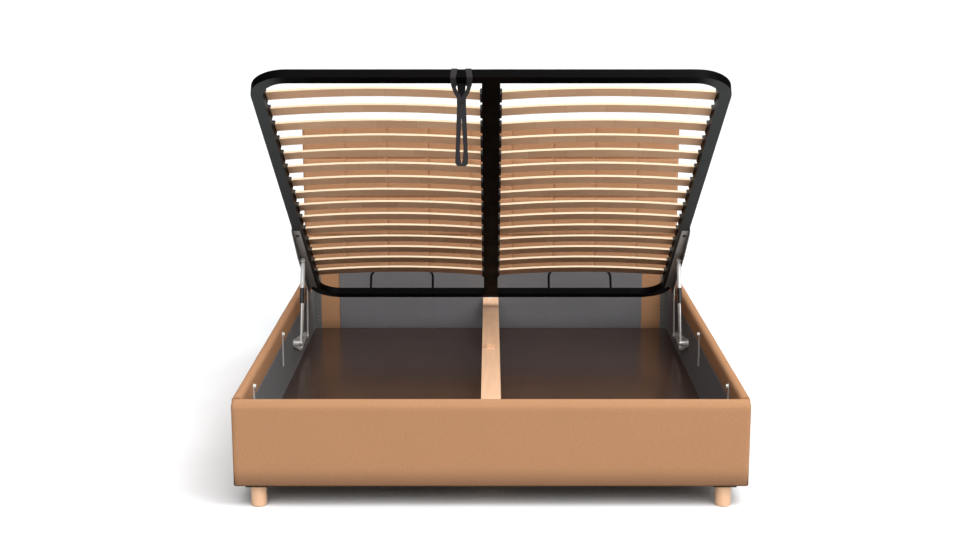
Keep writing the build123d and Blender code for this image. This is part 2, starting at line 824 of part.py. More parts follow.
# Upper brackets: steel angles bolted along the lid's side tubes
bracket_to = lid_length - bracket_from_head
bracket_from = bracket_to - bracket_length
bracket_step_from = bracket_from + bracket_step_length
flange_middle_x = lid_edge_x - flange_width / 2
bolt_places = (bracket_from + foot_bolt_inset, bracket_to - head_bolt_inset)
for side_name, side in mirror_sides:
    with BuildPart() as upper_bracket:
        with BuildSketch(
            Plane(origin=(side * lid_edge_x, lid_foot_y, lid_foot_z), x_dir=lid_plane.y_dir, z_dir=(1, 0, 0))
        ) as flange_outline:
            # Local x runs along the lid and local y up from it
            with BuildLine():
                Polyline(
                    (bracket_from, bracket_rise),
                    (bracket_to, bracket_rise),
                    (bracket_to, -bracket_deep),
                    (bracket_step_from, -bracket_deep),
                    (bracket_from, -bracket_shallow),
                    close=True,
                )
            make_face()
            fillet(flange_outline.vertices(), radius=bracket_end_radius)
        extrude(amount=side * flange_steel)
        with BuildSketch(lid_plane.offset(-flange_steel)):
            with Locations((side * flange_middle_x, (bracket_from + bracket_to) / 2)):
                Rectangle(flange_width, bracket_length - 2 * bracket_end_radius)
        extrude(amount=flange_steel)
    save(upper_bracket, "upper_bracket_" + side_name)

with BuildPart() as lid_bolts:
    with BuildSketch(lid_plane.offset(-flange_steel)):
        with Locations(
            *[(side * flange_middle_x, along) for _, side in mirror_sides for along in bolt_places]
        ):
            RegularPolygon(lid_bolt_radius, lid_bolt_sides)
    extrude(amount=-lid_bolt_height)
save(lid_bolts, "lid_bolts")


def stud(side, centre, near, far, radius):
    """Add a round stud along X at a (y, z) centre, between two distances from the bed's middle."""
    start = Plane(origin=(side * near, centre[0], centre[1]), x_dir=(0, 1, 0), z_dir=(side, 0, 0))
    with Locations(start):
        Cylinder(radius, far - near, align=(Align.CENTER, Align.CENTER, Align.MIN))


# Pins that the lid's brackets carry: the rear pivot, a boss behind the front link and the spring's pin
spring_eye_inner = spring_x - spring_eye_width / 2
spring_eye_outer = spring_x + spring_eye_width / 2
with BuildPart() as lid_pivot_pins:
    for _, side in mirror_sides:
        rear_head_x = rear_link_outer_x + boss_gap
        stud(side, rear_pin, flange_outer_x, rear_head_x, pin_radius)
        stud(side, rear_pin, rear_head_x, rear_head_x + pin_head_height, pin_head_radius)
        stud(side, front_pin, flange_outer_x, front_link_inner_x - boss_gap, boss_radius)
        spring_head_x = spring_eye_inner - boss_gap
        stud(side, spring_pin, spring_head_x, lid_edge_x, pin_radius)
        stud(side, spring_pin, spring_head_x - pin_head_height, spring_head_x, pin_head_radius)
save(lid_pivot_pins, "lid_pivot_pins")

# Base plates on the side walls, with the pins and bosses that the links and the springs turn on
screw_places = [
    (
        spring_base[0] + (rear_base[0] - spring_base[0]) * share,
        spring_base[1] + (rear_base[1] - spring_base[1]) * share,
    )
    for share in (screw_spread_share, 1 - screw_spread_share)
]
for side_name, side in mirror_sides:
    with BuildPart() as base_plate:
        with BuildSketch(side_plane(side, plate_inner_x)):
            with Locations(rear_base, front_base, spring_base):
                Circle(base_plate_edge)
            make_hull()
            with Locations(*screw_places):
                Circle(screw_head_radius, mode=Mode.SUBTRACT)
        extrude(amount=side * base_plate_steel)
    save(base_plate, "base_plate_" + side_name)

with BuildPart() as base_screws:
    for _, side in mirror_sides:
        for place in screw_places:
            stud(side, place, plate_inner_x, wall_x, screw_head_radius - pin_clearance)
save(base_screws, "base_screws")

with BuildPart() as base_pivot_pins:
    for _, side in mirror_sides:
        for place, inner_x in ((rear_base, rear_link_inner_x), (front_base, front_link_inner_x)):
            head_x = inner_x - boss_gap
            stud(side, place, head_x, plate_inner_x, pin_radius)
            stud(side, place, head_x - pin_head_height, head_x, pin_head_radius)
        stud(side, spring_base, spring_eye_outer + boss_gap, plate_inner_x, boss_radius)
save(base_pivot_pins, "base_pivot_pins")

# Links: flat bars with round ends, the rear one pinned at both ends
for side_name, side in mirror_sides:
    with BuildPart() as rear_link:
        with BuildSketch(side_plane(side, rear_link_inner_x)):
            with Locations(rear_base, rear_pin):
                Circle(link_end_radius)
            make_hull()
            with Locations(rear_base, rear_pin):
                Circle(pin_radius + pin_clearance, mode=Mode.SUBTRACT)
        extrude(amount=side * link_steel)
    save(rear_link, "rear_link_" + side_name)

    with BuildPart() as front_link:
        with BuildSketch(side_plane(side, front_link_inner_x)):
            with Locations(front_base, front_pin):
                Circle(link_end_radius)
            make_hull()
            with Locations(front_base):
                Circle(pin_radius + pin_clearance, mode=Mode.SUBTRACT)
        extrude(amount=side * link_steel)
        stud(side, front_pin, front_link_outer_x, front_link_outer_x + pin_head_height, pin_head_radius)
    save(front_link, "front_link_" + side_name)

# Gas springs: a tube hinged on the lid and a rod that slides in it
spring_way = (
    0,
    (spring_base[0] - spring_pin[0]) / spring_length,
    (spring_base[1] - spring_pin[1]) / spring_length,
)
tube_start = spring_eye_radius
piston_start = spring_length - spring_rod_length - spring_eye_radius
for side_name, side in mirror_sides:
    spring_plane = Plane(
        origin=(side * spring_x, spring_pin[0], spring_pin[1]), x_dir=(1, 0, 0), z_dir=spring_way
    )
    with BuildPart() as gas_cylinder:
        stud(side, spring_pin, spring_eye_inner, spring_eye_outer, spring_eye_radius)
        with BuildSketch(spring_plane):
            Circle(spring_neck_radius)
        extrude(amount=tube_start + spring_cap_length)
        with BuildSketch(spring_plane.offset(tube_start)):
            Circle(spring_tube_radius)
        extrude(amount=spring_tube_length)
        with BuildSketch(side_plane(side, spring_eye_inner - overrun)):
            with Locations(spring_pin):
                Circle(pin_radius + pin_clearance)
        extrude(amount=side * (spring_eye_width + 2 * overrun), mode=Mode.SUBTRACT)
        with BuildSketch(spring_plane.offset(tube_start + spring_cap_length)):
            Circle(spring_tube_radius - spring_wall)
        extrude(amount=spring_tube_length - 2 * spring_cap_length, mode=Mode.SUBTRACT)
        with BuildSketch(spring_plane.offset(tube_start + spring_tube_length - spring_cap_length)):
            Circle(spring_rod_radius + spring_rod_clearance)
        extrude(amount=spring_cap_length + overrun, mode=Mode.SUBTRACT)
    save(gas_cylinder, "gas_cylinder_" + side_name)

    with BuildPart() as gas_rod:
        with BuildSketch(spring_plane.offset(piston_start)):
            Circle(spring_rod_radius)
        extrude(amount=spring_rod_length + overrun)
        with BuildSketch(spring_plane.offset(piston_start)):
            Circle(spring_tube_radius - spring_wall - spring_rod_clearance)
        extrude(amount=spring_cap_length)
        stud(side, spring_base, spring_eye_inner, spring_eye_outer, spring_eye_radius)
        stud(side, spring_base, spring_eye_inner - pin_head_height, spring_eye_inner, pin_head_radius)
    save(gas_rod, "gas_rod_" + side_name)

# Joint places and steps, for whoever poses the bed
rear_step = heading(rear_base, rear_pin) - heading(rear_base, rear_pin_shut)
front_step = heading(front_base, front_pin) - heading(front_base, front_pin_shut)
spring_step = heading(spring_base, spring_pin_shut) - heading(spring_base, spring_pin)
print("lid foot corner", round(lid_foot_y, 3), round(lid_foot_z, 3))
print("rear base", rear_base, "rear pin", rear_pin, "rear link turns", round(rear_step, 3))
print("front base", front_base, "front pin", front_pin, "front link turns", round(front_step, 3))
print("front link open and shut", round(front_link_length, 2), round(gap_between(front_base, front_pin_shut), 2))
print("spring base", spring_base, "spring pin", spring_pin, "spring turns", round(spring_step, 3))
print("spring open and shut", round(spring_length, 2), round(spring_length_shut, 2))
print("spring way", spring_way)
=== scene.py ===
# %% [markdown]
# # A storage bed with its slatted lid raised
# The bed is an upholstered box on short beech legs, with a tufted headboard. A steel frame with sprung
# slats is its lid, and two linkages with gas springs hold that lid up over the storage floor.
# The solid parts come in as they were drawn, each already on the body that it moves with. This file
# gives them their finishes, and makes the soft goods anew: covers, linings, tufting and webbing.

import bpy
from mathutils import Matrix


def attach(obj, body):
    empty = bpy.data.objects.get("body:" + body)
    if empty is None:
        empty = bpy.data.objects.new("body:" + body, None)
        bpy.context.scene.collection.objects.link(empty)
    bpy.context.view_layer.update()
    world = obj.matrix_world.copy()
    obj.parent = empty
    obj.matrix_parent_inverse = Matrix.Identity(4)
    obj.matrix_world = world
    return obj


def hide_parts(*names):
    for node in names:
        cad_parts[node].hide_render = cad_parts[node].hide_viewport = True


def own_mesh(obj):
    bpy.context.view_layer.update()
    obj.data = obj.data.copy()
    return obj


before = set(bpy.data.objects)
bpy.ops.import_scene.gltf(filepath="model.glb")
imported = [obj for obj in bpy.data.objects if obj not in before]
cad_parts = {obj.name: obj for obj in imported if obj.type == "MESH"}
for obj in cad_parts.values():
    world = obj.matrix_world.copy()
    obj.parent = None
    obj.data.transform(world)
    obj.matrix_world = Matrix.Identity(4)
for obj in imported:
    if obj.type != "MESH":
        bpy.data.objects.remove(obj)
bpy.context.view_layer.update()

# %% Tools and units
import math

import bmesh
import bpy
import numpy as np
from mathutils import Vector

MM = 0.001
scene = bpy.context.scene
print("tools ready")

# %% [markdown]
# ## The camera
# A product picture of furniture is taken from a few metres away with a mild telephoto lens, so that upright
# edges stay upright. A straight-on place and a slight look down keep the bed symmetrical. Zooming a wide lens
# in from close by would frame the same bed, but it would make the near end look too large.

# %% Camera in front of the foot end
camera_data = bpy.data.cameras.new("front_camera")
camera_data.sensor_width = 36.0
camera_data.lens = 54.27
camera = bpy.data.objects.new("front_camera", camera_data)
camera.location = (-0.0035, -5.6373, 1.7536)
camera.rotation_euler = (math.radians(90 - 12.02), 0, 0)
scene.collection.objects.link(camera)
scene.camera = camera
print("camera", tuple(camera.location), "lens", camera_data.lens)

# %% [markdown]
# ## Building materials from nodes
# A material here is a small network of nodes. Three short helpers place a node, do a sum and start a shared
# group, so that each finish below reads as a list of what it is made of. Writing every node out by hand
# would work too, but the finish would drown in bookkeeping.


# %% Helpers for nodes
def place(tree, kind, links=None, **settings):
    """Add one node. links gives each input, by name or number, a value or another node's output."""
    node = tree.nodes.new(kind)
    for key, value in settings.items():
        setattr(node, key, value)
    for label, value in (links or {}).items():
        if isinstance(value, bpy.types.NodeSocket):
            tree.links.new(value, node.inputs[label])
        else:
            node.inputs[label].default_value = value
    return node


def sums(tree, operation, first, second=0.0, third=0.0):
    """One step of arithmetic on numbers or outputs."""
    return place(tree, "ShaderNodeMath", {0: first, 1: second, 2: third}, operation=operation).outputs[0]


def scaled(tree, vector, factors):
    """Stretch coordinates by a factor on each axis."""
    return place(tree, "ShaderNodeVectorMath", {0: vector, 1: factors}, operation="MULTIPLY").outputs[0]


def spread(tree, value, low, high, new_low=0.0, new_high=1.0):
    """Map a value from one span to another, smoothly and held at the ends."""
    links = {"Value": value, "From Min": low, "From Max": high, "To Min": new_low, "To Max": new_high}
    return place(tree, "ShaderNodeMapRange", links, interpolation_type="SMOOTHSTEP").outputs["Result"]


def axis_of(tree, vector, axis):
    """One coordinate of a vector, by its letter."""
    return place(tree, "ShaderNodeSeparateXYZ", {0: vector}).outputs[axis]


def reach(tree, vector, way):
    """How far a vector goes along a fixed direction."""
    return place(tree, "ShaderNodeVectorMath", {0: vector, 1: way}, operation="DOT_PRODUCT").outputs["Value"]


def noise(tree, vector, scale, detail=2.0):
    """Cloudy noise between 0 and 1."""
    links = {"Vector": vector, "Scale": scale, "Detail": detail}
    return place(tree, "ShaderNodeTexNoise", links).outputs["Fac"]


def shared_group(name, inputs, outputs):
    """Start a node group with named sockets, and hand back its tree, its input node and its output node."""
    tree = bpy.data.node_groups.new(name, "ShaderNodeTree")
    for label, kind, value in inputs:
        socket = tree.interface.new_socket(label, in_out="INPUT", socket_type=kind)
        socket.default_value = value
    for label, kind in outputs:
        tree.interface.new_socket(label, in_out="OUTPUT", socket_type=kind)
    return tree, tree.nodes.new("NodeGroupInput"), tree.nodes.new("NodeGroupOutput")


def rgb(red, green, blue):
    """A paint colour given as screen values from 0 to 255, turned into linear light."""
    linear = [((c / 255 + 0.055) / 1.055) ** 2.4 if c > 10 else c / 255 / 12.92 for c in (red, green, blue)]
    return (*linear, 1.0)


NUMBER, VECTOR = "NodeSocketFloat", "NodeSocketVector"
print("helpers ready")

# %% [markdown]
# ## Light and floor
# The studio is bright, with a short soft shadow to the bed's left. What surrounds the bed is white to the
# eye, but as a light it is strongest from the front, above eye level and a little to the right, and weak near
# the ground. So rolled edges show, and the inside and the space under the bed stay dark. Lamps alone would do
# this too, but they would light the floor in pools.

# %% Studio light
KEY_WAY = (0.30, -0.68, 0.67)
KEY_GLOW, RIGHT_GLOW, TOP_GLOW, BASE_GLOW = 2.55, 0.42, 0.5, 0.12
GROUND_SHARE = 0.08
SEEN_GLOW = 1.05
world = bpy.data.worlds.new("studio")
scene.world = world
world.use_nodes = True
scene.view_settings.view_transform = "Standard"
sky = world.node_tree
direction = place(sky, "ShaderNodeTexCoord").outputs["Generated"]
key = spread(sky, reach(sky, direction, KEY_WAY), 0.35, 1.0, 0.0, KEY_GLOW)
to_right, upwards = axis_of(sky, direction, "X"), axis_of(sky, direction, "Z")
from_right = spread(sky, to_right, -0.5, 0.9, 0.0, RIGHT_GLOW)
from_above = spread(sky, upwards, 0.2, 0.95, 0.0, TOP_GLOW)
glow = sums(sky, "ADD", sums(sky, "ADD", from_right, key), sums(sky, "ADD", from_above, BASE_GLOW))
glow = sums(sky, "MULTIPLY", glow, spread(sky, upwards, 0.15, 0.65, GROUND_SHARE, 1.0))
to_the_eye = place(sky, "ShaderNodeLightPath").outputs["Is Camera Ray"]
sky.links.new(spread(sky, to_the_eye, 0.0, 1.0, glow, SEEN_GLOW), sky.nodes["Background"].inputs["Strength"])
sky.nodes["Background"].inputs["Color"].default_value = (1, 1, 1, 1)


def soft_lamp(name, spot, aim, width, watts):
    """Hang a square soft lamp at a place and turn it to a point. width is in metres."""
    data = bpy.data.lights.new(name, "AREA")
    data.size = width
    data.energy = watts
    lamp = bpy.data.objects.new(name, data)
    lamp.location = spot
    lamp.rotation_euler = (Vector(aim) - Vector(spot)).to_track_quat("-Z", "Y").to_euler()
    scene.collection.objects.link(lamp)


soft_lamp("key_lamp", (2.2, -2.8, 4.6), aim=(0, -0.4, 0.4), width=2.0, watts=85)

# %% [markdown]
# ## Shared effect: the weave
# Upholstery cloth is woven from uneven yarn, so it shows fine rows, thick and thin places, and a few paler
# and darker fibres. The group works in metres along and across the cloth. Its thread pitch and unevenness are
# inputs, so the same weave serves the tan cover, the grey lining, the back cloth and the webbing.

# %% Weave group
ROWS_PER_METRE = (110, 250, 1)
PALE_FIBRES, DARK_FIBRES = (170, 480, 1), (140, 440, 7)
PATCHES_PER_METRE = 5.0
THREAD_SHADE = 0.035
weave, cloth_in, cloth_out = shared_group(
    "cloth_weave",
    [("Vector", VECTOR, (0, 0, 0)), ("Threads Per Metre", NUMBER, 800.0), ("Unevenness", NUMBER, 0.1)],
    [("Shade", NUMBER), ("Pale Fleck", NUMBER), ("Dark Fleck", NUMBER), ("Height", NUMBER)],
)
at = cloth_in.outputs["Vector"]
pitch = {0: at, "Scale": cloth_in.outputs["Threads Per Metre"]}
threads = place(weave, "ShaderNodeVectorMath", pitch, operation="SCALE").outputs[0]
over = sums(weave, "SINE", sums(weave, "MULTIPLY", axis_of(weave, threads, "X"), math.pi))
under = sums(weave, "SINE", sums(weave, "MULTIPLY", axis_of(weave, threads, "Y"), math.pi))
cross = sums(weave, "MULTIPLY", over, under)
rows = noise(weave, scaled(weave, at, ROWS_PER_METRE), 1.0)
broad = noise(weave, at, PATCHES_PER_METRE)
uneven = sums(weave, "MULTIPLY", sums(weave, "SUBTRACT", rows, 0.5), 3.0)
uneven = sums(weave, "MULTIPLY_ADD", sums(weave, "SUBTRACT", broad, 0.5), 0.5, uneven)
shade = sums(weave, "MULTIPLY_ADD", uneven, cloth_in.outputs["Unevenness"], 1.0)
shade = sums(weave, "MULTIPLY_ADD", cross, THREAD_SHADE, shade)
pale = spread(weave, noise(weave, scaled(weave, at, PALE_FIBRES), 1.0, 1.0), 0.6, 0.75)
dark = spread(weave, noise(weave, scaled(weave, at, DARK_FIBRES), 1.3, 1.0), 0.6, 0.75)
height = sums(weave, "MULTIPLY_ADD", rows, 0.6, sums(weave, "MULTIPLY", cross, 0.5))
for label, value in (("Shade", shade), ("Pale Fleck", pale), ("Dark Fleck", dark), ("Height", height)):
    weave.links.new(value, cloth_out.inputs[label])
print("group", weave.name, [s.name for s in weave.interface.items_tree])

# %% [markdown]
# ## Shared effect: wood figure
# Beech and birch are pale and even, with long soft streaks along the grain and tiny dark flecks. Noise that
# is stretched many times along one axis gives both. The grain direction comes in through the vector, so a
# turned leg, a plank and a bent slat can each run their grain along their own length.

# %% Wood group
STREAKS_PER_METRE, PORES_PER_METRE = (5, 70, 70), (60, 900, 900)
wood, wood_in, wood_out = shared_group(
    "wood_figure",
    [("Vector", VECTOR, (0, 0, 0)), ("Contrast", NUMBER, 0.12)],
    [("Shade", NUMBER), ("Fleck", NUMBER), ("Height", NUMBER)],
)
at = wood_in.outputs["Vector"]
streaks = noise(wood, scaled(wood, at, STREAKS_PER_METRE), 1.0, 4.0)
pores = noise(wood, scaled(wood, at, PORES_PER_METRE), 1.0, 1.0)
figure = sums(wood, "MULTIPLY", sums(wood, "SUBTRACT", streaks, 0.5), 2.0)
shade = sums(wood, "MULTIPLY_ADD", figure, wood_in.outputs["Contrast"], 1.0)
fleck = spread(wood, pores, 0.6, 0.75)
height = sums(wood, "MULTIPLY_ADD", pores, 0.6, streaks)
for label, value in (("Shade", shade), ("Fleck", fleck), ("Height", height)):
    wood.links.new(value, wood_out.inputs[label])
print("group", wood.name)

# %% [markdown]
# ## Shared effects: grit and settled dust
# Powder coat and moulded plastic have a fine orange-peel grit, and their shine is a little patchy. Dust
# settles on faces that look up. Both are groups, because steel, plastic and the floor boards need them in
# different amounts.

# %% Grit and dust groups
grit, grit_in, grit_out = shared_group(
    "fine_grit",
    [("Vector", VECTOR, (0, 0, 0)), ("Grains Per Metre", NUMBER, 900.0)],
    [("Height", NUMBER), ("Patch", NUMBER)],
)
grains = {"Vector": grit_in.outputs["Vector"], "Scale": grit_in.outputs["Grains Per Metre"]}
grain = place(grit, "ShaderNodeTexNoise", grains)
grit.links.new(grain.outputs["Fac"], grit_out.inputs["Height"])
grit.links.new(noise(grit, grit_in.outputs["Vector"], 14.0, 3.0), grit_out.inputs["Patch"])

dust, dust_in, dust_out = shared_group(
    "settled_dust",
    [("Vector", VECTOR, (0, 0, 0)), ("Amount", NUMBER, 0.2)],
    [("Mask", NUMBER)],
)
upward = spread(dust, axis_of(dust, place(dust, "ShaderNodeTexCoord").outputs["Normal"], "Z"), 0.4, 0.95)
cloud = spread(dust, noise(dust, dust_in.outputs["Vector"], 22.0, 5.0), 0.35, 0.7)
veil = sums(dust, "MULTIPLY", sums(dust, "MULTIPLY", upward, cloud), dust_in.outputs["Amount"])
dust.links.new(veil, dust_out.inputs["Mask"])
print("groups", grit.name, dust.name)


# %% Helpers for materials
def finish(name, **values):
    """Start a material with its steady values on the shader, and hand back material, tree and shader."""
    made = bpy.data.materials.new(name)
    made.use_nodes = True
    shader = made.node_tree.nodes["Principled BSDF"]
    for label, value in values.items():
        shader.inputs[label.replace("_", " ")].default_value = value
    return made, made.node_tree, shader


def use_group(tree, group, **links):
    """Place a shared group and set its inputs."""
    node = place(tree, "ShaderNodeGroup", node_tree=group)
    for label, value in links.items():
        socket = node.inputs[label.replace("_", " ")]
        if isinstance(value, bpy.types.NodeSocket):
            tree.links.new(value, socket)
        else:
            socket.default_value = value
    return node


def object_place(tree):
    """The point on the piece, in metres."""
    return place(tree, "ShaderNodeTexCoord").outputs["Object"]


def mixed(tree, share, first, second, how="MIX"):
    """Blend two colours by a share or a mask."""
    node = place(tree, "ShaderNodeMix", {0: share, 6: first, 7: second}, data_type="RGBA", blend_type=how)
    return node.outputs[2]


def toned(tree, colour, shade):
    """Multiply a colour by a shade near one."""
    grey = place(tree, "ShaderNodeCombineColor", {0: shade, 1: shade, 2: shade}).outputs[0]
    return mixed(tree, 1.0, colour, grey, "MULTIPLY")


def bumped(tree, shader, height, depth):
    """Let a height push the surface in and out by a real depth."""
    bump = place(tree, "ShaderNodeBump", {"Height": height, "Strength": 1.0, "Distance": depth})
    tree.links.new(bump.outputs["Normal"], shader.inputs["Normal"])


finishes = {}
print("material helpers ready")

# %% [markdown]
# ## Cloth finishes
# The tan cover is a soft melange: warm sand yarn with paler and darker fibres, and a slight sheen. The lining
# is a flat charcoal felt, the back is a plain dark cloth, and the lift strap is ribbed webbing. All read the
# cloth's own lengths, kept with each mesh, so the rows follow the cloth over every edge.


# %% Cloth materials
# Painted shade: the heights in metres over which the cloth is coloured darker towards the floor, and how dark
# it gets at the bottom.
SHADE_BOTTOM, SHADE_TOP, SHADE_SHARE = 0.07, 0.15, 0.75


def cloth_finish(name, body, pale, dark, threads, unevenness, flecks, depth, roughness, sheen, painted_shade=None):
    """A woven material from the weave group. The last colour is painted shade: a darker tone laid towards the
    lower edge.
    """
    made, tree, shader = finish(
        name, Roughness=roughness, Specular_IOR_Level=0.12, Sheen_Weight=sheen, Sheen_Roughness=0.45,
        Sheen_Tint=pale,
    )
    lengths = place(tree, "ShaderNodeUVMap", uv_map="cloth").outputs[0]
    node = use_group(tree, weave, Vector=lengths, Threads_Per_Metre=threads, Unevenness=unevenness)
    colour = toned(tree, body, node.outputs["Shade"])
    colour = mixed(tree, sums(tree, "MULTIPLY", node.outputs["Pale Fleck"], flecks), colour, pale)
    colour = mixed(tree, sums(tree, "MULTIPLY", node.outputs["Dark Fleck"], flecks), colour, dark)
    # Painted shade: the colour darkens towards the bottom of the piece, standing in for light that falls off
    # near the floor.
    if painted_shade:
        rise = axis_of(tree, object_place(tree), "Z")
        colour = mixed(tree, spread(tree, rise, SHADE_BOTTOM, SHADE_TOP, SHADE_SHARE, 0.0), colour, painted_shade)
    tree.links.new(colour, shader.inputs["Base Color"])
    bumped(tree, shader, node.outputs["Height"], depth)
    finishes[name] = made


# The tan cover's last colour is painted shade near the floor.
cloth_finish(
    "tan_fabric", rgb(176, 131, 96), pale=rgb(199, 156, 120), dark=rgb(142, 101, 70), threads=850.0,
    unevenness=0.09, flecks=0.3, depth=0.0004, roughness=0.88, sheen=0.06, painted_shade=rgb(127, 95, 73),
)
cloth_finish(
    "back_fabric", rgb(70, 66, 64), pale=rgb(100, 96, 92), dark=rgb(46, 44, 42), threads=900.0,
    unevenness=0.05, flecks=0.3, depth=0.0003, roughness=0.9, sheen=0.1,
)
cloth_finish(
    "grey_lining", rgb(112, 111, 113), pale=rgb(130, 129, 131), dark=rgb(90, 89, 91), threads=1100.0,
    unevenness=0.04, flecks=0.2, depth=0.0003, roughness=0.92, sheen=0.04,
)
webbing = {"threads": 420.0, "unevenness": 0.06, "flecks": 0.3, "depth": 0.0006}
cloth_finish(
    "grey_webbing", rgb(48, 46, 48), pale=rgb(66, 63, 63), dark=rgb(32, 30, 31), roughness=0.8, sheen=0.03,
    **webbing,
)
# The fold is the same webbing, coloured much darker as painted shade.
cloth_finish(
    "webbing_fold_painted_shade", rgb(24, 23, 25), pale=rgb(34, 32, 34), dark=rgb(14, 13, 15), roughness=0.9, sheen=0.02,
    **webbing,
)
print("cloths", sorted(finishes))

# %% [markdown]
# ## Wood finishes
# The legs and the centre board are lacquered beech, and the legs are a little warmer. The slats are pressed
# from short lengths of birch laid end to end, so each slat is a row of blocks that differ a little in tone,
# with a straight joint between them, and its long edges show the pale plies.

# %% Beech, board and storage floor
LEG_TOP, ABOVE_LEGS, LEG_SHARE = 0.076, 0.1, 0.8

made, tree, shader = finish("pale_beech", Roughness=0.42, Coat_Weight=0.15, Coat_Roughness=0.35)
spot = place(tree, "ShaderNodeSeparateXYZ", {0: object_place(tree)}).outputs
along_y = place(tree, "ShaderNodeCombineXYZ", {0: spot["Y"], 1: spot["X"], 2: spot["Z"]}).outputs[0]
node = use_group(tree, wood, Vector=along_y, Contrast=0.16)
colour = toned(tree, rgb(236, 194, 158), node.outputs["Shade"])
colour = mixed(tree, sums(tree, "MULTIPLY", node.outputs["Fleck"], 0.3), colour, rgb(190, 142, 104))
low_down = spread(tree, spot["Z"], LEG_TOP, ABOVE_LEGS, LEG_SHARE, 0.0)
colour = mixed(tree, low_down, colour, rgb(230, 184, 146))
tree.links.new(colour, shader.inputs["Base Color"])
bumped(tree, shader, node.outputs["Height"], 0.0002)
finishes["pale_beech"] = made

made, tree, shader = finish("core_board", Roughness=0.8)
chips = place(tree, "ShaderNodeTexVoronoi", {"Vector": object_place(tree), "Scale": 260.0})
colour = mixed(tree, spread(tree, chips.outputs["Distance"], 0.1, 0.9), rgb(188, 158, 118), rgb(150, 118, 82))
tree.links.new(colour, shader.inputs["Base Color"])
bumped(tree, shader, chips.outputs["Distance"], 0.0003)
finishes["core_board"] = made

made, tree, shader = finish("dark_floor", Specular_IOR_Level=0.5)
spot = object_place(tree)
node = use_group(tree, wood, Vector=spot, Contrast=0.06)
veil = use_group(tree, dust, Vector=spot, Amount=0.03)
colour = toned(tree, rgb(60, 44, 38), node.outputs["Shade"])
colour = mixed(tree, veil.outputs["Mask"], colour, rgb(150, 140, 130))
tree.links.new(colour, shader.inputs["Base Color"])
tree.links.new(spread(tree, noise(tree, spot, 6.0, 4.0), 0.3, 0.7, 0.22, 0.27), shader.inputs["Roughness"])
bumped(tree, shader, node.outputs["Height"], 0.00003)
finishes["dark_floor"] = made
print("woods so far", sorted(finishes))

# %% Where a point lies on the tilted lid, in millimetres
LID_TILT = math.radians(33.63)
LID_FOOT = (-860.478, 1389.074)
LID_ALONG = Vector((0, math.cos(LID_TILT), -math.sin(LID_TILT)))
LID_UP = Vector((0, math.sin(LID_TILT), math.cos(LID_TILT)))


def on_lid(across, along, above):
    """A point given on the lid in millimetres, as a place in the scene in metres."""
    foot = Vector((0, LID_FOOT[0], LID_FOOT[1]))
    return (foot + Vector((across, 0, 0)) + LID_ALONG * along + LID_UP * above) * MM


print("lid corner", tuple(round(c, 4) for c in on_lid(0, 0, 0)))

# %% Slat birch in blocks
ROW_PITCH, FIRST_ROW_SHARE = 0.1138, 1.222
BLOCK_LENGTH, JOINT_SHARES = 0.138, (0.003, 0.008)
GRAIN_STEP, PLY_PITCH = 0.37, 0.0027

made, tree, shader = finish("slat_birch", Roughness=0.5, Coat_Weight=0.1, Coat_Roughness=0.4)
spot = object_place(tree)
to_foot = {0: spot, 1: on_lid(0, 0, 0)}
from_foot = place(tree, "ShaderNodeVectorMath", to_foot, operation="SUBTRACT").outputs[0]
along, above = reach(tree, from_foot, LID_ALONG), reach(tree, from_foot, LID_UP)
across = axis_of(tree, spot, "X")
row = sums(tree, "FLOOR", sums(tree, "MULTIPLY_ADD", along, 1 / ROW_PITCH, -FIRST_ROW_SHARE))
start = place(tree, "ShaderNodeTexWhiteNoise", {"W": row}, noise_dimensions="1D").outputs["Value"]
blocks = sums(tree, "MULTIPLY_ADD", across, 1 / BLOCK_LENGTH, start)
number = sums(tree, "FLOOR", blocks)
pair = place(tree, "ShaderNodeCombineXYZ", {0: number, 1: row}).outputs[0]
tone = place(tree, "ShaderNodeTexWhiteNoise", {"Vector": pair}, noise_dimensions="3D").outputs["Value"]
part = sums(tree, "FRACT", blocks)
to_joint = sums(tree, "MINIMUM", part, sums(tree, "SUBTRACT", 1.0, part))
joint = sums(tree, "SUBTRACT", 1.0, spread(tree, to_joint, *JOINT_SHARES))
own_grain = sums(tree, "MULTIPLY_ADD", number, GRAIN_STEP, along)
shifted = place(tree, "ShaderNodeCombineXYZ", {0: across, 1: own_grain, 2: above}).outputs[0]
node = use_group(tree, wood, Vector=shifted, Contrast=0.08)
colour = mixed(tree, tone, rgb(218, 173, 136), rgb(228, 186, 149))
colour = toned(tree, colour, node.outputs["Shade"])
colour = mixed(tree, sums(tree, "MULTIPLY", joint, 0.3), colour, rgb(130, 92, 64))
side_on = reach(tree, place(tree, "ShaderNodeTexCoord").outputs["Normal"], LID_ALONG)
edge = spread(tree, sums(tree, "ABSOLUTE", side_on), 0.6, 0.8)
plies = spread(tree, sums(tree, "SINE", sums(tree, "MULTIPLY", above, 2 * math.pi / PLY_PITCH)), -0.4, 0.6)
colour = mixed(tree, edge, colour, mixed(tree, plies, rgb(212, 182, 146), rgb(236, 214, 184)))
tree.links.new(colour, shader.inputs["Base Color"])
bumped(tree, shader, sums(tree, "SUBTRACT", node.outputs["Height"], joint), 0.0002)
finishes["slat_birch"] = made
print("slat material", made.name)

# %% [markdown]
# ## Steel and plastic finishes
# The lid frame is black powder coat, satin and slightly gritty. The upper brackets and the corner angles are
# a duller grey, the links, base plates and guides are zinc plated, and each gas spring has a bright sleeve, a
# black lower tube and a ground rod. One recipe with different values makes them all. The lid's side tubes and
# the brackets catch more light from below than the rest, so their lower faces have a paler tone.

# %% Metal and plastic materials
INNER_SIDE, OUTER_SIDE = 0.66, 0.74
SHINE_DROP, SHINE_RISE = 0.06, 0.08
BLACK_SHARE = 0.36


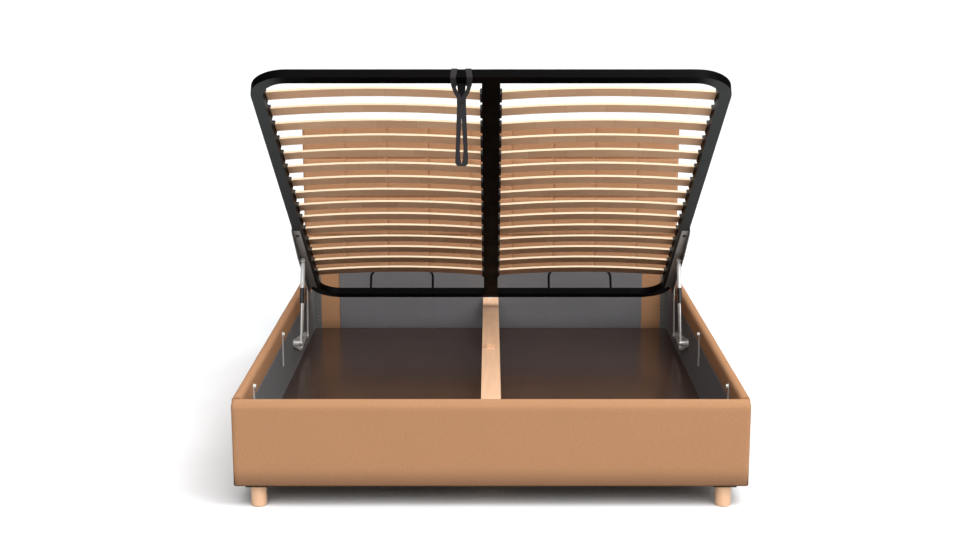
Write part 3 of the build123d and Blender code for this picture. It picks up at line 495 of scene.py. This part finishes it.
def hard_finish(
    name, body, patchy, metallic, rough, grains, depth,
    dusting=0.0, coat=0.0, gloss=0.5, under=None, lower=None,
):
    """Metal or plastic with patchy shine, grit and a little dust.

    under is the tone of faces under the lid's sides. lower is a height and the tone below it.
    """
    made, tree, shader = finish(
        name, Metallic=metallic, Coat_Weight=coat, Coat_Roughness=0.3, Specular_IOR_Level=gloss
    )
    spot = object_place(tree)
    node = use_group(tree, grit, Vector=spot, Grains_Per_Metre=grains)
    colour = mixed(tree, node.outputs["Patch"], body, patchy)
    if under:
        downward = reach(tree, place(tree, "ShaderNodeTexCoord").outputs["Normal"], -LID_UP)
        at_side = spread(tree, sums(tree, "ABSOLUTE", axis_of(tree, spot, "X")), INNER_SIDE, OUTER_SIDE)
        colour = mixed(tree, sums(tree, "MULTIPLY", at_side, spread(tree, downward, 0.5, 0.9)), colour, under)
    if lower:
        height, tone = lower
        below = spread(tree, axis_of(tree, spot, "Z"), height - MM, height + MM, 1.0, 0.0)
        colour = mixed(tree, below, colour, tone)
    if dusting:
        veil = use_group(tree, dust, Vector=spot, Amount=dusting)
        colour = mixed(tree, veil.outputs["Mask"], colour, rgb(150, 146, 140))
    tree.links.new(colour, shader.inputs["Base Color"])
    shine = spread(tree, node.outputs["Patch"], 0.3, 0.7, rough - SHINE_DROP, rough + SHINE_RISE)
    tree.links.new(shine, shader.inputs["Roughness"])
    bumped(tree, shader, node.outputs["Height"], depth)
    finishes[name] = made


hard_finish(
    "black_steel", rgb(4, 3, 3), rgb(7, 6, 6), metallic=0.0, rough=0.36, grains=900.0, depth=0.0001,
    dusting=0.002, gloss=0.02, under=rgb(66, 69, 70),
)
hard_finish(
    "black_plastic", rgb(12, 11, 11), rgb(18, 17, 17), metallic=0.0, rough=0.45, grains=1400.0, depth=0.0001,
    dusting=0.02, gloss=0.25,
)
hard_finish(
    "bracket_steel", rgb(110, 112, 110), rgb(92, 94, 92), metallic=0.2, rough=0.42, grains=700.0,
    depth=0.0001, dusting=0.06, under=rgb(196, 198, 196),
)
hard_finish(
    "zinc_steel", rgb(232, 232, 228), rgb(214, 214, 210), metallic=0.25, rough=0.34, grains=500.0,
    depth=0.00006, dusting=0.05,
)
spring_heights = [v.co.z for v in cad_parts["gas_cylinder_left"].data.vertices]
sleeve_end = min(spring_heights) + BLACK_SHARE * (max(spring_heights) - min(spring_heights))
hard_finish(
    "spring_shell", rgb(226, 227, 226), rgb(206, 207, 206), metallic=0.2, rough=0.36, grains=800.0,
    depth=0.00005, dusting=0.04, coat=0.2, lower=(sleeve_end, rgb(22, 20, 20)),
)
hard_finish(
    "spring_rod_steel", rgb(206, 206, 204), rgb(186, 186, 184), metallic=0.5, rough=0.25, grains=300.0,
    depth=0.00002,
)
hard_finish(
    "dark_fastener", rgb(56, 56, 58), rgb(42, 42, 44), metallic=0.7, rough=0.4, grains=600.0, depth=0.00005,
    dusting=0.05,
)
print("finishes", sorted(finishes))

# %% Put the finishes on the drawn parts
for name, part_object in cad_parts.items():
    for slot in part_object.material_slots:
        slot.material = finishes[slot.material.name.split(".")[0]]
print("nodes finished", len(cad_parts))

# %% [markdown]
# ## Upholstered panels
# A padded panel is a board with foam and cloth drawn over it, so its edges are rolled, its long faces are a
# little uneven, and nothing on it is dead straight. A box made of fine strips, whose points are moved onto
# the rolled edges and then nudged, gives that, and even strips keep the cloth lengths true. A bevel on a
# plain box would roll the edges too, but it leaves large flat faces that can't give or bulge.


# %% Strips, rolled edges and cloth lengths
ROLL_SHARES = (0.0, 0.12, 0.28, 0.48, 0.72, 1.0)
SHARP_ANGLE = math.radians(50)


def strip_lines(low, high, low_roll, high_roll, step):
    """Where to cut a side into strips: close together on rolled edges, evenly between."""
    near = [low + low_roll * s for s in ROLL_SHARES] if low_roll else [low]
    far = [high - high_roll * s for s in reversed(ROLL_SHARES)] if high_roll else [high]
    count = max(1, round((far[0] - near[-1]) / step))
    return near + [near[-1] + (far[0] - near[-1]) * k / count for k in range(1, count)] + far


def rolled(points, low, high, low_roll, high_roll, fullness=2.0):
    """Move points on a box onto its rolled edges. A fullness of 2 is a true round, and less is flatter."""
    low, high = np.array(low, float), np.array(high, float)
    low_roll, high_roll = np.array(low_roll, float), np.array(high_roll, float)
    core = np.clip(points, low + low_roll, high - high_roll)
    away = points - core
    roll = np.where(away < 0, low_roll, high_roll)
    unit = np.divide(away, roll, out=np.zeros_like(away), where=roll > 0)
    length = np.sum(np.abs(unit) ** fullness, axis=1, keepdims=True) ** (1 / fullness)
    unit = np.divide(unit, length, out=np.zeros_like(unit), where=length > 1e-9)
    return core + unit * roll


def padded_panel(
    name, low, high, low_roll, high_roll, step, cloth_axis, open_faces=(), shape=None, fullness=2.0
):
    """A closed or open box of strips with rolled edges, in millimetres. The rows follow cloth_axis."""
    lines = [strip_lines(low[a], high[a], low_roll[a], high_roll[a], step) for a in range(3)]
    mesh_build = bmesh.new()
    cloth = mesh_build.loops.layers.uv.new("cloth")
    known, flat = {}, []

    def corner(point):
        key = tuple(round(c, 4) for c in point)
        if key not in known:
            known[key] = mesh_build.verts.new((0, 0, 0))
            flat.append(point)
        return known[key]

    for axis in range(3):
        first, second = [a for a in range(3) if a != axis]
        for side, value in (("low", low[axis]), ("high", high[axis])):
            if (axis, side) in open_faces:
                continue
            for i in range(len(lines[first]) - 1):
                for j in range(len(lines[second]) - 1):
                    ring = []
                    for a, b in ((i, j), (i + 1, j), (i + 1, j + 1), (i, j + 1)):
                        point = [0.0, 0.0, 0.0]
                        point[axis], point[first], point[second] = value, lines[first][a], lines[second][b]
                        ring.append(tuple(point))
                    if (side == "low") == (axis != 1):
                        ring.reverse()
                    face = mesh_build.faces.new([corner(p) for p in ring])
                    face.smooth = True
                    length_axis = cloth_axis if cloth_axis != axis else first
                    other = [a for a in (first, second) if a != length_axis][0]
                    for loop, point in zip(face.loops, ring):
                        loop[cloth].uv = (point[length_axis] * MM, (point[other] + point[axis]) * MM)
    flat = np.array(flat)
    moved = rolled(flat, low, high, low_roll, high_roll, fullness)
    if shape:
        moved = shape(flat, moved)
    mesh_build.verts.ensure_lookup_table()
    for vertex, point in zip(mesh_build.verts, moved):
        vertex.co = Vector(point) * MM
    mesh = bpy.data.meshes.new(name)
    mesh_build.to_mesh(mesh)
    mesh_build.free()
    mesh.set_sharp_from_angle(angle=SHARP_ANGLE)
    piece = bpy.data.objects.new(name, mesh)
    scene.collection.objects.link(piece)
    print(name, "faces", len(mesh.polygons))
    return piece


def ripple(a, b, seed, depth):
    """The slight unevenness of foam under cloth, in millimetres."""
    wide = np.sin(a / 97 + 1.7 * seed) * np.sin(b / 61 + seed)
    narrow = np.sin(a / 43 + 2.3 * seed + b / 83)
    return depth * (0.65 * wide + 0.35 * narrow)


def dress(piece, body, slot_name, *nodes):
    """Give a soft piece its cloth, its body and the drawn part that it stands for."""
    piece.data.materials.append(finishes[slot_name])
    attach(piece, body)
    if nodes:
        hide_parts(*nodes)
    return piece


print("panel tools ready")

# %% [markdown]
# ## Foot panel and side rails
# These three panels have one piece of tan cloth drawn over the top and down the inside to where the dark
# lining starts. The lining is a thin felt on the lower inside, and the cover steps back behind its edge. The
# foot panel's cloth is tucked under in front, so it curves inwards towards its hem.

# %% Sizes of the upholstered box, in millimetres
HALF_WIDTH = 843.0
FRONT_Y, FOOT_WALL_Y, HEAD_WALL_Y, BACK_Y = -1067.5, -1027.5, 987.5, 1067.5
BASE_Z, FLOOR_Z, RIM_Z, LINING_Z = 76.0, 98.0, 372.0, 298.0
WALL_X = 809.0
FOOT_RIM_Z = 367.0
HEM_DROP = 0.8
TUCK_RISE, TUCK_DEPTH, TUCK_POWER = 72.0, 11.5, 2.4
FOOT_FELT, SIDE_FELT, HEAD_FELT = 8.0, 5.0, 4.0
FOOT_STEP, SIDE_STEP = 7.0, 4.0
PANEL_RIPPLE, FELT_RIPPLE = 0.5, 0.35
CREASE_DEPTH, CREASE_WIDTH = 2.2, 14.0
JOINT_GAP = 0.3
print("box", 2 * HALF_WIDTH, RIM_Z)


# %% Foot panel cover and lining
def foot_shape(flat, moved):
    front = flat[:, 1] == FRONT_Y
    inside = (flat[:, 1] == FOOT_WALL_Y) & (flat[:, 2] < LINING_Z)
    moved[front, 1] += ripple(moved[front, 0], moved[front, 2], 1.0, PANEL_RIPPLE)
    tucked = np.clip((BASE_Z + TUCK_RISE - moved[:, 2]) / TUCK_RISE, 0, 1)
    moved[front, 1] += TUCK_DEPTH * tucked[front] ** TUCK_POWER
    moved[inside, 1] -= FOOT_STEP
    return moved


foot_cover = padded_panel(
    "foot_panel_cover", (-HALF_WIDTH, FRONT_Y, BASE_Z - HEM_DROP), (HALF_WIDTH, FOOT_WALL_Y, FOOT_RIM_Z),
    low_roll=(10, 25, 3), high_roll=(10, 12, 24), step=14.0, cloth_axis=0, shape=foot_shape, fullness=1.6,
)
dress(foot_cover, "base", "tan_fabric", "foot_cover")


def lining_panel(name, low, high, axis, side, seed, *nodes, creases=()):
    """A thin felt panel, open where it lies against its board. creases are places where it was folded."""
    def slack(flat, moved):
        face = flat[:, axis] == (high[axis] if side == "low" else low[axis])
        along = moved[face, 0] if axis == 1 else moved[face, 1]
        moved[face, axis] += ripple(along, moved[face, 2], seed, FELT_RIPPLE)
        for crease in creases:
            moved[face, axis] -= CREASE_DEPTH * np.exp(-np.abs(along - crease) / CREASE_WIDTH)
        return moved

    rolls_low, rolls_high = [1.5, 1.5, 1.5], [1.5, 1.5, 1.5]
    (rolls_low if side == "low" else rolls_high)[axis] = 0
    cloth_axis = 0 if axis == 1 else 1
    panel = padded_panel(name, low, high, rolls_low, rolls_high, 16.0, cloth_axis, [(axis, side)], slack)
    return dress(panel, "base", "grey_lining", *nodes)


foot_lining = lining_panel(
    "foot_panel_lining", (-WALL_X, FOOT_WALL_Y - FOOT_FELT, BASE_Z), (WALL_X, FOOT_WALL_Y, LINING_Z),
    1, "low", 2.0, "foot_lining",
)
print("foot panel dressed")

# %% Side rail covers and linings
for side_name, side in (("left", -1), ("right", 1)):
    inner, outer = side * WALL_X, side * HALF_WIDTH

    def rail_shape(flat, moved, inner=inner, outer=outer, side=side):
        faces_out = flat[:, 0] == outer
        inside = (flat[:, 0] == inner) & (flat[:, 2] < LINING_Z)
        moved[faces_out, 0] += ripple(moved[faces_out, 1], moved[faces_out, 2], 3.0 + side, PANEL_RIPPLE)
        moved[inside, 0] += side * SIDE_STEP
        return moved

    rolls = {inner: 16, outer: 14}
    low_x, high_x = min(inner, outer), max(inner, outer)
    rail = padded_panel(
        "side_rail_cover_" + side_name,
        (low_x, FOOT_WALL_Y + JOINT_GAP, BASE_Z - HEM_DROP), (high_x, HEAD_WALL_Y - JOINT_GAP, RIM_Z),
        (rolls[low_x], 1.5, 3), (rolls[high_x], 1.5, 16), step=16.0, cloth_axis=1, shape=rail_shape,
    )
    dress(rail, "base", "tan_fabric", "side_cover_" + side_name)
    lining_low = (min(inner, inner + side * SIDE_FELT), FOOT_WALL_Y, BASE_Z)
    lining_high = (max(inner, inner + side * SIDE_FELT), HEAD_WALL_Y, LINING_Z)
    board_side = "high" if side > 0 else "low"
    felt = lining_panel(
        "side_rail_lining_" + side_name, lining_low, lining_high, 0, board_side, 5.0 + side,
        "side_lining_" + side_name,
    )
print("side rails dressed")

# %% [markdown]
# ## The tufted headboard
# Foam is stitched down along a grid of seams, so each tile swells between sunken lines, and the cloth puckers
# where the thread pulls it in. The front is one fine sheet of strips, pushed in along the seams and out
# between them, with small puckers beside the stitching. Separate cushions for each tile would leave gaps.

# %% Headboard front
BOARD_HALF, BOARD_TOP, PAD_DEPTH = 849.0, 1042.0, 30.0
TILES_ACROSS = 9
TILE = 2 * BOARD_HALF / TILES_ACROSS
COLUMN_SEAMS = [-BOARD_HALF + TILE * k for k in range(1, TILES_ACROSS)]
ROW_SEAMS = [884.0, 707.0, 530.0]
SEAM_REACH, SEAM_SLOPE, SEAM_GROOVE, GROOVE_WIDTH = 30.0, 2.6, 5.0, 4.0
CROSSING_PULL, PUCKER_DEPTH, PUCKER_PITCH, BESIDE_SEAM = 1.6, 0.55, 23.0, 9.0
CROWN, HALF_COLUMN, HALF_ROW = 1.8, 94.0, 88.0
EDGE_ROLL, FADE_HEIGHT = 16.0, 20.0
BOARD_RIPPLE, BACK_RIPPLE = 0.35, 0.4


def seam_pull(distance):
    """How far the cloth is pulled in beside a seam, in millimetres."""
    wide = np.clip(1 - distance / SEAM_REACH, 0, 1)
    return SEAM_SLOPE * wide * wide + SEAM_GROOVE * np.exp(-((distance / GROOVE_WIDTH) ** 2))


def headboard_shape(flat, moved):
    front = flat[:, 1] == HEAD_WALL_Y
    x, z = moved[front, 0], moved[front, 2]
    upper = np.clip((z - RIM_Z) / FADE_HEIGHT, 0, 1)
    to_column = np.min([np.abs(x - s) for s in COLUMN_SEAMS], axis=0)
    to_row = np.min([np.abs(z - s) for s in ROW_SEAMS], axis=0)
    pull = np.maximum(seam_pull(to_column) * upper, seam_pull(to_row))
    pull += CROSSING_PULL * upper * np.exp(-((to_column / BESIDE_SEAM) ** 2) - (to_row / BESIDE_SEAM) ** 2)
    beside_column = np.exp(-(((to_column - BESIDE_SEAM) / BESIDE_SEAM) ** 2))
    beside_row = np.exp(-(((to_row - BESIDE_SEAM) / BESIDE_SEAM) ** 2))
    pucker = PUCKER_DEPTH * upper * np.sin(2 * np.pi * z / PUCKER_PITCH + x / 31) * beside_column
    pucker += PUCKER_DEPTH * np.sin(2 * np.pi * x / PUCKER_PITCH + z / 37) * beside_row
    within = np.clip(to_column / HALF_COLUMN, 0, 1) * np.clip(to_row / HALF_ROW, 0, 1)
    crown = CROWN * upper * within ** 0.6
    depth = (HEAD_WALL_Y + EDGE_ROLL - moved[front, 1]) / EDGE_ROLL
    moved[front, 1] += (pull + pucker - crown + ripple(x, z, 8.0, BOARD_RIPPLE)) * np.clip(depth, 0, 1)
    return moved


headboard_front = padded_panel(
    "headboard_front_cover",
    (-BOARD_HALF, HEAD_WALL_Y, BASE_Z), (BOARD_HALF, HEAD_WALL_Y + PAD_DEPTH, BOARD_TOP),
    (EDGE_ROLL, EDGE_ROLL, 3), (EDGE_ROLL, 0, EDGE_ROLL), step=5.5, cloth_axis=0, open_faces=[(1, "high")],
    shape=headboard_shape,
)
dress(headboard_front, "base", "tan_fabric", "headboard_cover")


# %% Stitches along the seams
STITCH_PITCH, STITCH_LENGTH, THREAD_THICK, THREAD_SIDES = 7.0, 5.0, 1.1, 6
THREAD_DEPTH, ABOVE_RIM, BEFORE_EDGE = 9.0, 4.0, 18.0
STITCH_SHAPE = ((-0.5, 0.35), (-0.25, 1.0), (0.25, 1.0), (0.5, 0.35))


def stitch_run(build, start, end):
    """Short raised threads in a row from start to end."""
    way = (end - start).normalized()
    side = way.cross(Vector((0, 1, 0)))
    count = int((end - start).length / STITCH_PITCH)
    for k in range(count):
        middle = start + way * (k + 0.5) * STITCH_PITCH
        rings = []
        for share, plump in STITCH_SHAPE:
            centre = middle + way * share * STITCH_LENGTH
            ring = []
            for turn in range(THREAD_SIDES):
                angle = math.tau * turn / THREAD_SIDES
                off = side * math.cos(angle) + Vector((0, 1, 0)) * math.sin(angle)
                ring.append(build.verts.new((centre + off * THREAD_THICK * plump / 2) * MM))
            rings.append(ring)
        for a, b in zip(rings, rings[1:]):
            for turn in range(THREAD_SIDES):
                after = (turn + 1) % THREAD_SIDES
                build.faces.new([a[turn], a[after], b[after], b[turn]]).smooth = True
        build.faces.new(rings[0])
        build.faces.new(rings[-1][::-1])


thread_build = bmesh.new()
stitch_y = HEAD_WALL_Y + THREAD_DEPTH
low_end, high_end, side_end = RIM_Z + ABOVE_RIM, BOARD_TOP - BEFORE_EDGE, BOARD_HALF - BEFORE_EDGE
for seam in COLUMN_SEAMS:
    stitch_run(thread_build, Vector((seam, stitch_y, low_end)), Vector((seam, stitch_y, high_end)))
for seam in ROW_SEAMS:
    stitch_run(thread_build, Vector((-side_end, stitch_y, seam)), Vector((side_end, stitch_y, seam)))
thread_build.loops.layers.uv.new("cloth")
bmesh.ops.recalc_face_normals(thread_build, faces=thread_build.faces)
thread_mesh = bpy.data.meshes.new("headboard_stitches")
thread_build.to_mesh(thread_mesh)
thread_build.free()
stitches = bpy.data.objects.new("headboard_stitches", thread_mesh)
scene.collection.objects.link(stitches)
dress(stitches, "base", "tan_fabric")
print("stitch faces", len(thread_mesh.polygons))

# %% [markdown]
# ## Headboard back and head lining
# The back is plain cloth drawn tight over the board's sides and stapled out of sight. The head lining is
# a strip of felt on the storage side, between the two grey corner angles.


# %% Back cloth and head lining
HEAD_FELT_HALF = 693.0
FELT_CREASES = (-529.0, -260.0, 251.0, 511.0)


def back_shape(flat, moved):
    rear = flat[:, 1] == BACK_Y
    moved[rear, 1] += ripple(moved[rear, 0], moved[rear, 2], 11.0, BACK_RIPPLE)
    return moved


headboard_rear = padded_panel(
    "headboard_back_cloth", (-BOARD_HALF, HEAD_WALL_Y + PAD_DEPTH, BASE_Z), (BOARD_HALF, BACK_Y, BOARD_TOP),
    (8, 0, 3), (8, 9, 9), step=18.0, cloth_axis=0, open_faces=[(1, "low")], shape=back_shape,
)
dress(headboard_rear, "base", "back_fabric", "headboard_back")

head_felt = lining_panel(
    "head_lining_felt",
    (-HEAD_FELT_HALF, HEAD_WALL_Y - HEAD_FELT, FLOOR_Z), (HEAD_FELT_HALF, HEAD_WALL_Y, RIM_Z),
    1, "high", 13.0, "head_lining", creases=FELT_CREASES,
)
print("head end dressed")

# %% [markdown]
# ## The lift strap
# To raise the lid, one pulls a loop of webbing that is hitched round the foot tube: two legs go over the
# tube, are drawn together at the neck over a fold, and the loop hangs plumb below. The fold is the same
# webbing, coloured darker as painted shade. Flat webbing is swept along given points, because simulation
# would need the tube and the knot in contact, and the result would hardly differ.

# %% Ribbons of webbing
STRAP_X = -96.0
NECK_DROP, STRAP_DROP = 42.0, 268.0
ROUTE_STEPS = 5
TAIL_ALONG, TAIL_ABOVE = 37.0, -3.4
UPPER_HALF = ((-0.5, 0.0), (-0.47, 0.42), (-0.4, 0.5), (0.0, 0.5), (0.4, 0.5), (0.47, 0.42), (0.5, 0.0))
PROFILE = UPPER_HALF + tuple((-a, -b) for a, b in UPPER_HALF[1:-1])
tail_top = on_lid(STRAP_X, TAIL_ALONG, TAIL_ABOVE) / MM
print("strap hangs from", tuple(round(c, 1) for c in tail_top))


def smooth_path(points, per_span):
    """Points along a smooth curve through the given ones."""
    ends = [points[0] * 2 - points[1], *points, points[-1] * 2 - points[-2]]
    path = []
    for a, b, c, d in zip(ends, ends[1:], ends[2:], ends[3:]):
        for k in range(per_span):
            t = k / per_span
            bend, twist = 2 * a - 5 * b + 4 * c - d, 3 * b - a - 3 * c + d
            path.append(0.5 * (2 * b + (c - a) * t + bend * t * t + twist * t ** 3))
    return path + [points[-1]]


def ribbon(build, cloth, path, widths, thick):
    """Sweep flat webbing with soft edges along a path. widths is given at even shares of its length."""
    rings, run = [], 0.0
    for k, point in enumerate(path):
        way = (path[min(k + 1, len(path) - 1)] - path[max(k - 1, 0)]).normalized()
        across = (Vector((1, 0, 0)) - way * way.x).normalized()
        face = across.cross(way)
        share = k / (len(path) - 1) * (len(widths) - 1)
        low = min(int(share), len(widths) - 2)
        width = widths[low] + (widths[low + 1] - widths[low]) * (share - low)
        run += (point - path[k - 1]).length if k else 0
        ring = [build.verts.new((point + across * a * width + face * b * thick) * MM) for a, b in PROFILE]
        rings.append((ring, run, width))
    size = len(PROFILE)
    for (ring_a, run_a, wide_a), (ring_b, run_b, wide_b) in zip(rings, rings[1:]):
        for turn in range(size):
            after = (turn + 1) % size
            made_face = build.faces.new([ring_a[turn], ring_a[after], ring_b[after], ring_b[turn]])
            made_face.smooth = True
            here, there = PROFILE[turn][0], PROFILE[after][0]
            spots = (
                (here * wide_a, run_a), (there * wide_a, run_a),
                (there * wide_b, run_b), (here * wide_b, run_b),
            )
            for loop, (u, v) in zip(made_face.loops, spots):
                loop[cloth].uv = (u * MM, v * MM)
    build.faces.new(rings[0][0])
    build.faces.new(rings[-1][0][::-1])


# Over the tube: across from the strap's middle, along the lid and above it. Below it: across, back and down.
OVER_TUBE = (
    (23.0, 44.5, -6.0), (22.5, 42.2, 4.0), (22.0, 42.0, 27.0), (22.0, 38.5, 32.0), (22.0, 20.0, 32.2),
    (22.4, 2.0, 32.0), (23.0, -2.0, 27.0), (24.6, -2.1, 15.0), (26.6, -1.8, 2.0), (26.6, 2.5, -2.0),
    (26.0, 20.0, -2.4),
)
BELOW_TUBE = (
    (25.2, 0, 0), (24.2, -1.5, 10), (21.4, -1.5, 20), (15.0, -1.0, 32), (8.4, 0, 43), (7.6, 0, 62)
)
LEG_WIDTHS, LEG_THICK = (22, 21, 21, 21, 20, 19, 18, 13, 14, 15), 2.6
FOLD_ROUTE = ((5, -6), (7, 6), (8, 20), (6, 32), (2.6, 46))
FOLD_WIDTHS, FOLD_THICK = (26, 26, 24, 17), 2.4

strap_build = bmesh.new()
strap_cloth = strap_build.loops.layers.uv.new("cloth")
for leg in (-1, 1):
    path = [on_lid(STRAP_X + leg * across, along, above) / MM for across, along, above in OVER_TUBE]
    path += [tail_top + Vector((leg * across, back, -down)) for across, back, down in BELOW_TUBE]
    ribbon(strap_build, strap_cloth, smooth_path(path, ROUTE_STEPS), LEG_WIDTHS, LEG_THICK)
leg_faces = len(strap_build.faces)
fold = [tail_top + Vector((0, back, -down)) for back, down in FOLD_ROUTE]
ribbon(strap_build, strap_cloth, smooth_path(fold, ROUTE_STEPS), FOLD_WIDTHS, FOLD_THICK)
# The fold's faces take the second material: webbing darkened as painted shade.
for number, face in enumerate(strap_build.faces):
    face.material_index = 1 if number >= leg_faces else 0
print("webbing faces", len(strap_build.faces))


# %% The hanging loop with its slit
NECK_HALF, LOOP_GROWTH, END_ROUND = 14.5, 7.5, 14.0
SLIT_TOP, SLIT_HALF, BELOW_SLIT = 112.0, 5.2, 9.0
LOOP_ROWS, EVEN_ROWS, LOOP_COLUMNS = 56, 53, 4
END_ROWS = (13, 10, 7.5, 5, 3, 1.4, 0.4, 0)
WEBBING_THICK, MERGE_WITHIN = 3.0, 0.00005


def loop_half_widths(drop):
    """Half the loop's width and half its slit at a distance below the top, in millimetres."""
    share = (drop - NECK_DROP) / (STRAP_DROP - NECK_DROP)
    outer = NECK_HALF + LOOP_GROWTH * share ** 1.2
    from_end = STRAP_DROP - drop
    if from_end < END_ROUND:
        outer -= END_ROUND - math.sqrt(max(END_ROUND ** 2 - (END_ROUND - from_end) ** 2, 0))
    slit_share = (drop - SLIT_TOP) / (STRAP_DROP - BELOW_SLIT - SLIT_TOP)
    if not 0 < slit_share < 1:
        return outer, 0.0
    return outer, SLIT_HALF * max(math.sin(math.pi * slit_share ** 1.9), 0) ** 0.75


sheet_build = bmesh.new()
sheet_cloth = sheet_build.loops.layers.uv.new("cloth")
drops = [NECK_DROP + (STRAP_DROP - NECK_DROP) * k / LOOP_ROWS for k in range(EVEN_ROWS)]
drops += [STRAP_DROP - d for d in END_ROWS]
for leg in (-1, 1):
    grid = []
    for drop in drops:
        outer, slit = loop_half_widths(drop)
        sway = 2.0 * math.sin(drop / 90)
        spots = [slit + (outer - slit) * c / LOOP_COLUMNS for c in range(LOOP_COLUMNS + 1)]
        grid.append([
            sheet_build.verts.new((tail_top + Vector((leg * across, sway, -drop))) * MM) for across in spots
        ])
    for a, b in zip(grid, grid[1:]):
        for c in range(LOOP_COLUMNS):
            ring = [a[c], a[c + 1], b[c + 1], b[c]]
            made_face = sheet_build.faces.new(ring if leg > 0 else ring[::-1])
            made_face.smooth = True
            for loop in made_face.loops:
                loop[sheet_cloth].uv = (loop.vert.co.x, loop.vert.co.z)
bmesh.ops.remove_doubles(sheet_build, verts=sheet_build.verts, dist=MERGE_WITHIN)
loop_mesh = bpy.data.meshes.new("loop_sheet")
sheet_build.to_mesh(loop_mesh)
sheet_build.free()
loop_sheet = bpy.data.objects.new("loop_sheet", loop_mesh)
scene.collection.objects.link(loop_sheet)
thicken = loop_sheet.modifiers.new("thick", "SOLIDIFY")
thicken.thickness = WEBBING_THICK * MM
thicken.offset = 0.0
rounding = loop_sheet.modifiers.new("round", "SUBSURF")
rounding.levels = 1
shown = bpy.context.evaluated_depsgraph_get()
strap_build.from_mesh(bpy.data.meshes.new_from_object(loop_sheet.evaluated_get(shown)))
bpy.data.objects.remove(loop_sheet)
bmesh.ops.recalc_face_normals(strap_build, faces=strap_build.faces)
strap_mesh = bpy.data.meshes.new("lift_strap_webbing")
strap_build.to_mesh(strap_mesh)
strap_build.free()
strap = bpy.data.objects.new("lift_strap_webbing", strap_mesh)
scene.collection.objects.link(strap)
for face in strap_mesh.polygons:
    face.use_smooth = True
dress(strap, "lid", "grey_webbing", "lift_strap")
# The second material is the fold's painted shade.
strap_mesh.materials.append(finishes["webbing_fold_painted_shade"])
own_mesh(strap)
print("strap faces", len(strap_mesh.polygons))

# %% [markdown]
# ## The studio floor
# A wide matt sheet stands for the sweep of paper under the bed. To the eye it is white, but to the light it
# is a pale grey, so that what bounces up from it doesn't wash out the underside of the lid or the foot panel.

# %% Floor
FLOOR_HALF = 30.0
BOUNCE_TONE = rgb(208, 208, 208)
floor_build = bmesh.new()
bmesh.ops.create_grid(floor_build, x_segments=12, y_segments=12, size=FLOOR_HALF)
floor_mesh = bpy.data.meshes.new("studio_floor")
floor_build.to_mesh(floor_mesh)
floor_build.free()
floor = bpy.data.objects.new("studio_floor", floor_mesh)
scene.collection.objects.link(floor)
made, tree, shader = finish("studio_paper", Roughness=0.9, Specular_IOR_Level=0.1)
mottle = spread(tree, noise(tree, object_place(tree), 3.0, 3.0), 0.2, 0.8)
seen = mixed(tree, mottle, rgb(236, 237, 238), rgb(240, 241, 242))
to_the_eye = place(tree, "ShaderNodeLightPath").outputs["Is Camera Ray"]
tree.links.new(mixed(tree, to_the_eye, BOUNCE_TONE, seen), shader.inputs["Base Color"])
floor_mesh.materials.append(made)
print("floor laid")
